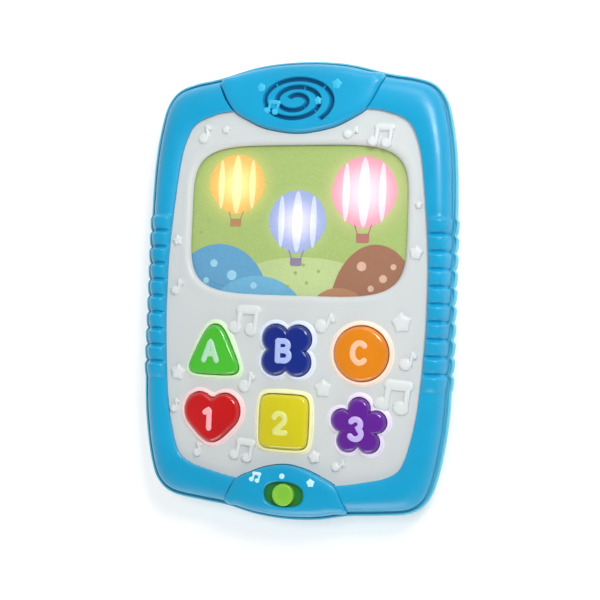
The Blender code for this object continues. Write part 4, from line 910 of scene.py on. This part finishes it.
def make_frame(outline, speaker_half, switch_half):
    loops = [outline.between(*row) for row in FRAME_PROFILE]
    blue_frame = Shape().loft(loops, closed=True).build("blue_frame")
    for half, seam in ((speaker_half, SPEAKER_SEAM), (switch_half, SWITCH_SEAM)):
        cut_through(blue_frame, panel_loop(half, -seam), SEAT_Z - GAP, PANEL_TOP + PANEL_CLEAR)
    material = moulded("frame_blue", BLUE, rough=0.36, coat=0.12)
    dress(blue_frame, material, "case", "front_frame")


def panel_shape(name, half, seam_edge):
    """Raised end panel with a slightly crowned top."""
    whole = mirrored(half)
    corner = abs(half[np.argmax(half[:, 0]), 1])
    share = smooth_step(corner - BLEND_BEFORE, corner + BLEND_AFTER, np.abs(whole[:, 1]))[:, None]
    loops = [level(panel_loop(half, inset), z) for inset, z in PANEL_INSIDE]
    for (inset, z), (outer_inset, outer_z) in zip(seam_edge, OUTLINE_EDGE):
        at_seam = level(panel_loop(half, inset), z)
        at_outline = level(panel_loop(half, outer_inset), outer_z)
        loops.append(at_seam * (1 - share) + at_outline * share)
    return Shape().loft(loops).build(name)


def spiral_band(start, end, width, count):
    """Closed loop of even width along a stretch of the flattened spiral."""
    turn = np.linspace(start, end, count)
    radius = SPIRAL_INNER + (SPIRAL_REACH - SPIRAL_INNER) * turn / SPIRAL_TURN
    across = SPIRAL_X - radius * np.cos(turn)
    upward = SPIRAL_Y + SPIRAL_SQUASH * radius * np.sin(turn)
    line = np.stack([across, upward], axis=1)
    along = directions(line)
    side = np.stack([-along[:, 1], along[:, 0]], axis=1) * width / 2
    return np.concatenate([line - side, (line + side)[::-1]])


def cut_spiral(panel):
    """A soft-edged groove along the spiral, with through slots between short bridges in its floor."""
    levels = []
    for width, height, extra in SPIRAL_GROOVE:
        loop = spiral_band(SPIRAL_START - extra, SPIRAL_TURN + extra, width, SPIRAL_POINTS)
        levels.append((loop, PANEL_TOP + height))
    boolean(panel, lofted("tool", levels))
    slots = Shape()
    shares = (np.arange(SPIRAL_PIECES + 1) / SPIRAL_PIECES) ** SPIRAL_CROWDING
    edges = SPIRAL_START + (SPIRAL_TURN - SPIRAL_START) * shares
    for start, end in zip(edges[:-1], edges[1:]):
        loop = spiral_band(start + SPIRAL_BRIDGE, end - SPIRAL_BRIDGE, SPIRAL_SLOT, SLOT_POINTS)
        slots.loft([level(loop, PANEL_CEILING - SLOT_BELOW), level(loop, PANEL_TOP + SLOT_ABOVE)])
    boolean(panel, slots.build("tool"))


def make_speaker_panel(half, material):
    panel = panel_shape("speaker_cover", half, SPEAKER_EDGE)
    cut_spiral(panel)
    dress(panel, material, "case", "speaker_panel")
    # A dark blue sheet under the grille stands in for the shade inside the slots
    edge = panel_loop(half, SHADE_SHEET_MARGIN)
    slot_shade_sheet = lofted("slot_shade_sheet", [(edge, SHADE_SHEET_Z), (edge, SHADE_SHEET_TOP)])
    slot_shade_paint = moulded("slot_shade_paint", SHADE_SHEET_BLUE, rough=0.9, grain=0.6, grain_scale=4000.0)
    dress(slot_shade_sheet, slot_shade_paint, "case")
    marks = Shape()
    add_motifs(marks, OUTER_MARKS, PANEL_TOP - MARK_SINK, MARK_HEIGHT)
    add_motifs(marks, GRILLE_MARKS, PANEL_TOP - DEEP_MARK_SINK, DEEP_MARK_HEIGHT)
    # The marks' paler blue is painted highlight on their raised edges
    mark_highlight_blue = moulded("mark_highlight_blue", MARK_HIGHLIGHT_BLUE, rough=0.3, coat=0.2)
    dress(marks.build("speaker_marks"), mark_highlight_blue, "case")


def make_switch_panel(half, material):
    panel = panel_shape("switch_cover", half, SWITCH_EDGE)
    middle = np.array([0.0, SLIDER_Y])
    slot = even(rounded(SLOT_X, SLOT_Y, middle, SLOT_SQUARENESS, SLIDER_SAMPLES), SLIDER_POINTS) - middle
    boolean(panel, lofted("tool", [(middle + grown(slot, margin), z) for margin, z in SLOT_EDGE]))
    dress(panel, material, "case", "switch_panel")
    icons = Shape()
    add_motifs(icons, ICONS, PANEL_TOP - ICON_SINK, ICON_HEIGHT)
    dress(icons.build("switch_icons"), moulded("icon_print", ICON, rough=0.4), "case")


def make_slider():
    middle = (0.0, SLIDER_Y)
    plan = even(rounded(PLATE_X, PLATE_Y, middle, PLATE_SQUARENESS, SLIDER_SAMPLES), SLIDER_POINTS)
    plate = lofted("slider_plate", [(plan, PLATE_Z), (plan, PLATE_TOP)])
    # The plate's darker green is painted shade in the slot's recess
    dress(plate, moulded("slider_shaded", GREEN_SHADED, rough=0.35), "mode_slider", "mode_slider")
    shoulder = KNOB_TOP - KNOB_EDGE
    profile = [(KNOB_RADIUS, KNOB_Z), (KNOB_RADIUS, shoulder)]
    for turn in np.radians(KNOB_TURNS):
        radius = KNOB_RADIUS - KNOB_ROUND_IN * (1 - math.cos(turn))
        profile.append((radius, shoulder + KNOB_ROUND_UP * math.sin(turn)))
    profile += [(radius, KNOB_TOP - drop) for radius, drop in KNOB_DISH]
    knob = Shape()
    knob.loft([level(circle(radius, middle, SLIDER_POINTS), z) for radius, z in profile])
    for ring, total in KNOB_RINGS:
        for spot in circle(ring, middle, total):
            mound(knob, circle(KNOB_DOT, spot, KNOB_DOT_POINTS), KNOB_TOP - KNOB_DOT_SINK, KNOB_DOT_HEIGHT)
    slider_green = moulded("slider_green", GREEN_KNOB, rough=0.3, coat=0.2)
    dress(knob.build("slider_knob"), slider_green, "mode_slider")


def legend_strokes():
    """Centre lines of the legends, in a box about one unit high."""
    return {
        "a": [[(-0.35, -0.5), (0.0, 0.5), (0.35, -0.5)], [(-0.21, -0.17), (0.21, -0.17)]],
        "b": [
            [(-0.30, -0.5), (-0.30, 0.5)],
            [(-0.30, 0.5), (0.0, 0.5)] + arc(0.02, 0.27, 0.23, 0.23, 85, -85) + [(-0.30, 0.04)],
            [(-0.30, 0.02), (0.0, 0.02)] + arc(0.04, -0.24, 0.27, 0.26, 85, -85) + [(-0.30, -0.5)],
        ],
        "c": [arc(0.02, 0.0, 0.36, 0.5, 48, 312, 28)],
        "1": [[(-0.17, 0.32), (0.06, 0.47), (0.06, -0.5)]],
        "2": [arc(0.0, 0.21, 0.29, 0.29, 165, -35) + [(-0.28, -0.48), (0.31, -0.48)]],
        "3": [arc(-0.02, 0.25, 0.26, 0.25, 150, -75, 18) + arc(-0.02, -0.23, 0.30, 0.27, 75, -150, 20)],
    }


def button_table():
    """Name, plan round its own middle, and middle of each button."""
    triangle = by_angle(mirrored(catmull_rom(np.array(TRIANGLE_SHAPE) * TRIANGLE_SIZE, BUTTON_STEPS)))
    heart = by_angle(mirrored(catmull_rom(np.array(HEART_SHAPE) * HEART_SIZE, BUTTON_STEPS)))
    square = by_angle(rounded(SQUARE_X, SQUARE_Y, (0.0, 0.0), SQUARE_SQUARENESS, SQUARE_SAMPLES))
    left, right = MIDDLE_X - COLUMN, MIDDLE_X + COLUMN
    return (
        ("a", triangle, np.array([left, UPPER_ROW_Y])),
        ("b", lobed_loop(*QUATREFOIL), np.array([MIDDLE_X, UPPER_ROW_Y])),
        ("c", circle(ROUND_RADIUS, (0.0, 0.0), BUTTON_POINTS), np.array([right, UPPER_ROW_Y])),
        ("1", heart, np.array([left, LOWER_ROW_Y])),
        ("2", square, np.array([MIDDLE_X, LOWER_ROW_Y])),
        ("3", lobed_loop(*FLOWER), np.array([right, LOWER_ROW_Y])),
    )


def cap_steps(loop):
    """Plans and heights of a button, from its flange to the middle of its dome."""
    wall_top = BUTTON_TOP - CAP_ROUND
    flange = grown(loop, FLANGE_REACH)
    steps = [(flange, FLANGE_Z), (flange, FLANGE_TOP), (loop, FLANGE_TOP), (loop, wall_top)]
    for turn in np.radians(CAP_TURNS):
        inset = CAP_ROUND * (1 - math.cos(turn))
        steps.append((grown(loop, -inset), wall_top + (CAP_ROUND - CAP_DOME) * math.sin(turn)))
    for share, drop in CAP_DOME_STEPS:
        steps.append((grown(loop, -CAP_ROUND) * share, BUTTON_TOP - CAP_DOME * drop))
    return steps


def make_buttons(buttons):
    legends = legend_strokes()
    for name, loop, middle in buttons:
        colour, legend_colour, collar_painted_tint, shift = BUTTON_LOOKS[name]
        body = "button_" + name
        cap = lofted("cap_" + name, [(plan + middle, z) for plan, z in cap_steps(loop)])
        material = moulded("cap_colour_" + name, colour, rough=0.14, shade=0.10, coat=0.5, grain=0.012)
        dress(cap, material, body, body)
        legend = Shape()
        for stroke in legends[name]:
            path = np.array(stroke) * LEGEND_SCALE + middle + np.array(shift)
            ribbon(legend, path, LEGEND_WIDTH, LEGEND_HEIGHT, BUTTON_TOP - LEGEND_SINK)
        legend_ink = moulded("legend_colour_" + name, legend_colour, rough=0.35)
        dress(legend.build("legend_" + name), legend_ink, body)
        loops = [(grown(loop, margin) + middle, z) for margin, z in COLLAR_PROFILE]
        collar = lofted("collar_" + name, loops, closed=True)
        # Collar: white tinted with the cap's colour as a painted reflection, and a painted glow
        dress(collar, painted_glow("collar_painted_tint_" + name, collar_painted_tint, COLLAR_PAINTED_GLOW), "case")


def make_face(outline, buttons, speaker_half, switch_half, material):
    face = Shape().loft([outline.face(FACE_RIM, z) for z in (FACE_Z, FACE_TOP)]).build("white_face")
    below, above = FACE_Z - CUT_REACH, FACE_TOP + CUT_REACH
    plans = [grown(loop, BUTTON_HOLE) + middle for _, loop, middle in buttons]
    holes = Shape()
    for plan in plans + [opening_loop(OPENING_CUT)]:
        holes.loft([level(plan, below), level(plan, above)])
    boolean(face, holes.build("tool"))
    for half in (speaker_half, switch_half):
        cut_through(face, panel_loop(half, -PANEL_SEAM), below, above)
    dress(face, material, "case", "faceplate")
    loops = [(opening_loop(margin), z) for margin, z in BEZEL_PROFILE]
    dress(lofted("screen_bezel", loops, closed=True), material, "case")
    motifs = Shape()
    add_motifs(motifs, MOTIFS, FACE_TOP - MOTIF_SINK, MOTIF_HEIGHT)
    # The motifs' whiter colour is painted highlight on their raised tops
    motif_lit_white = moulded("motif_lit_white", MOTIF_LIT_WHITE, rough=0.34, shade=0.03)
    dress(motifs.build("face_motifs"), motif_lit_white, "case")


def clipped(loop):
    """Keeps a printed shape on the card."""
    middle = np.array([0.0, SCREEN_Y])
    away = loop - middle
    halves = np.array([SCREEN_HALF_WIDTH + PRINT_MARGIN, SCREEN_HALF_HEIGHT + PRINT_MARGIN])
    powers = np.abs(away / halves) ** SCREEN_SQUARENESS
    reach = (powers[:, 0] + powers[:, 1]) ** (1 / SCREEN_SQUARENESS)
    return middle + away / np.maximum(reach, 1.0)[:, None]


def print_layer(name, loops, layer, material):
    """Flat printed shapes, one ink layer thick."""
    shape = Shape()
    low = CARD_TOP + INK_STEP * layer
    for loop in loops:
        plan = clipped(loop)
        shape.loft([level(plan, low), level(plan, low + INK_THICKNESS)])
    dress(shape.build(name), material, "case", angle=INK_CREASE)


def print_balloon(name, centre, half_x, half_y, layer, colours, reach, glow):
    """Striped balloon with a basket, lit from behind."""
    cx, cy = centre
    skin_colour, stripe_colour, basket_colour = colours
    lamp = ((centre, reach, glow),)
    turns = np.radians(np.arange(0, 360, BALLOON_STEP))
    taper = 1 - BALLOON_TAPER * np.clip(-np.sin(turns), 0, 1) ** 2
    skin = np.stack([cx + half_x * np.cos(turns) * taper, cy + half_y * np.sin(turns)], axis=1)
    print_layer(name + "_skin", [skin], layer, printed(name + "_skin_ink", skin_colour, SKIN_LIT, lamp))
    stripes = []
    for x, wide, high in GORES:
        stripes.append(ellipse((cx + x * half_x, cy), half_x * wide, half_y * high, GORE_POINTS))
    stripe_ink = printed(name + "_stripe_ink", stripe_colour, STRIPE_LIT, lamp)
    print_layer(name + "_stripes", stripes, layer + 1, stripe_ink)
    low = cy - half_y
    basket_spot = (cx, low - BASKET_DROP * half_y)
    basket = [rounded(BASKET_X * half_x, BASKET_Y * half_y, basket_spot, BASKET_SQUARENESS, BASKET_POINTS)]
    bottom, top = low - LINE_DROP * half_y, low + LINE_RISE * half_y
    for side in (-1, 1):
        foot, head = cx + side * LINE_FOOT * half_x, cx + side * LINE_HEAD * half_x
        lower = [(foot - LINE_HALF, bottom), (foot + LINE_HALF, bottom)]
        upper = [(head + LINE_HALF, top), (head - LINE_HALF, top)]
        basket.append(np.array(lower + upper))
    print_layer(name + "_basket", basket, layer + 1, printed(name + "_basket_ink", basket_colour))


def make_picture():
    """A plain picture of its own: balloons over round hills, with three coloured lamps behind it."""
    plan = screen_loop(WINDOW_MARGIN)
    card = lofted("card", [(plan, CARD_Z), (plan, CARD_TOP)])
    dress(card, printed("card_green", CARD_GREEN, CARD_LIT, POOLS), "case", "picture_card")
    for layer, (name, ink, (x, y, half_x, half_y), colour, lit, lamps) in enumerate(HILLS, 1):
        hill = ellipse((x, y), half_x, half_y, HILL_POINTS)
        print_layer(name, [hill], layer, printed(ink, colour, lit, lamps))
    for name, ink, colour, count, spots in DOTS:
        dots = [circle(radius, (x, y), count) for x, y, radius in spots]
        print_layer(name, dots, DOTS_LAYER, printed(ink, colour))
    for row in BALLOONS:
        print_balloon(*row)


def make_window():
    plan = screen_loop(WINDOW_MARGIN)
    window = lofted("window", [(plan, WINDOW_Z), (plan, WINDOW_TOP)])
    material, tree, shader, coords = new_material("clear_plastic")
    tree.links.new(spread(tree, noise(tree, coords, *SMEAR), *WINDOW_ROUGH), shader.inputs["Roughness"])
    shader.inputs["Base Color"].default_value = (*WINDOW_TINT, 1.0)
    shader.inputs["Alpha"].default_value = WINDOW_ALPHA
    dress(window, material, "case", "screen_window")


def make_door():
    door = lofted("rear_door", [(door_plan(-inset), z) for inset, z in DOOR_EDGE])
    cuts = Shape()
    screw_hole(cuts, "door_screw", DOOR_HOLE, DOOR_HOLE_POINTS)
    door_low, _ = box_mm("battery_door")
    for k in range(GRIP_COUNT):
        spot = (0.0, door_low[1] + GRIP_START + GRIP_PITCH * k)
        groove = rounded(GRIP_X, GRIP_Y, spot, GRIP_SQUARENESS, GRIP_POINTS)
        cuts.loft([level(groove, -CUT_REACH), level(groove, GRIP_DEPTH)])
    boolean(door, cuts.build("tool"))
    # Same paler blue as the rear case, painted floor bounce light
    material = moulded("door_blue", RIM_BOUNCE_BLUE, rough=0.38, grain=0.10)
    dress(door, material, "battery_door", "battery_door")


def dress_cad_nodes():
    """Procedural finishes for the solids that stay as they are."""
    finishes = {}
    for starts, name, colour, surface in FINISHES:
        material = moulded(name, colour, **surface)
        finishes.update({start: material for start in starts.split()})
    for name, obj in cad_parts.items():
        fits = [start for start in finishes if name.startswith(start)]
        if fits:
            obj.data.materials.clear()
            obj.data.materials.append(finishes[max(fits, key=len)])


def make_stage():
    mesh = bpy.data.meshes.new("floor")
    corners = [(x, y, 0.0) for x, y in rectangle(FLOOR_HALF, FLOOR_HALF, (0.0, 0.0))]
    mesh.from_pydata(corners, [], [(0, 1, 2, 3)])
    floor = add_object("floor", mesh)
    floor.location.z = -FLOOR_DROP
    material, tree, shader, coords = new_material("floor_white")
    vary_colour(tree, shader, noise(tree, coords, *FLOOR_DRIFT), FLOOR_DARK, FLOOR_LIGHT)
    shader.inputs["Roughness"].default_value = FLOOR_ROUGH
    shader.inputs["Specular IOR Level"].default_value = 0.0
    rays = tree.nodes.new("ShaderNodeLightPath")
    seen = rays.outputs["Is Camera Ray"]
    for kind in ("Is Glossy Ray", "Is Transmission Ray"):
        seen = combine(tree, "MAXIMUM", seen, rays.outputs[kind])
    away = measure(tree, coords, "LENGTH").outputs["Value"]
    # Less white near the part: painted shade round it
    lift = map_range(tree, away, LIFT_START, LIFT_END, NEAR_SHADE_LIFT, FAR_LIFT).outputs["Result"]
    shader.inputs["Emission Color"].default_value = (1.0, 1.0, 1.0, 1.0)
    tree.links.new(combine(tree, "MULTIPLY", seen, lift), shader.inputs["Emission Strength"])
    mesh.materials.append(material)


def add_area(name, spot, aim, size, energy, glossy):
    data = bpy.data.lights.new(name, "AREA")
    data.energy = energy
    data.size = size
    light = add_object(name, data)
    light.visible_glossy = glossy
    direction = np.array(spot) - np.array(aim)
    back = direction / np.linalg.norm(direction)
    right = np.cross((0.0, 1.0, 0.0), back)
    right /= np.linalg.norm(right)
    stand(light, right, np.cross(back, right), back, spot)


def make_lights():
    world = bpy.data.worlds.new("studio")
    world.use_nodes = True
    bpy.context.scene.world = world
    tree = world.node_tree
    background = tree.nodes["Background"]
    background.inputs["Color"].default_value = (1.0, 1.0, 1.0, 1.0)
    coords = tree.nodes.new("ShaderNodeTexCoord")
    parts = tree.nodes.new("ShaderNodeSeparateXYZ")
    tree.links.new(coords.outputs["Generated"], parts.inputs["Vector"])
    rays = tree.nodes.new("ShaderNodeLightPath")
    height = map_range(tree, parts.outputs["Z"], 0.0, 1.0, HORIZON_LIGHT, ZENITH_LIGHT)
    gain = map_range(tree, rays.outputs["Is Glossy Ray"], 0.0, 1.0, 1.0, GLOSS_GAIN)
    strength = combine(tree, "MULTIPLY", height.outputs["Result"], gain.outputs["Result"])
    tree.links.new(strength, background.inputs["Strength"])
    for row in LIGHTS:
        add_area(*row)


def make_camera():
    data = bpy.data.cameras.new("camera")
    data.lens = CAMERA_LENS
    data.sensor_width = CAMERA_SENSOR
    data.clip_start = CAMERA_NEAR
    camera = add_object("camera", data)
    stand(camera, CAMERA_RIGHT, CAMERA_UP, CAMERA_BACK, place(CAMERA_PLACE))
    bpy.context.scene.camera = camera


def main():
    outline = Outline()
    speaker_half = panel_half(outline, SPEAKER_PANEL_HALF, SPEAKER_PANEL_INNER_Y, SPEAKER_PANEL_SHAPE, 1)
    switch_half = panel_half(outline, SWITCH_PANEL_HALF, SWITCH_PANEL_INNER_Y, SWITCH_PANEL_SHAPE, -1)
    buttons = button_table()
    white = moulded("face_white", WHITE, rough=0.34, shade=0.03, coat=0.05)
    panel_blue = moulded("panel_blue", BLUE, rough=0.36, coat=0.12)
    make_camera()
    make_lights()
    make_stage()
    make_rear_case(outline)
    make_frame(outline, speaker_half, switch_half)
    make_speaker_panel(speaker_half, panel_blue)
    make_switch_panel(switch_half, panel_blue)
    make_face(outline, buttons, speaker_half, switch_half, white)
    make_buttons(buttons)
    make_slider()
    make_picture()
    make_window()
    make_door()
    dress_cad_nodes()
    bpy.context.scene.view_settings.view_transform = "Standard"


main()
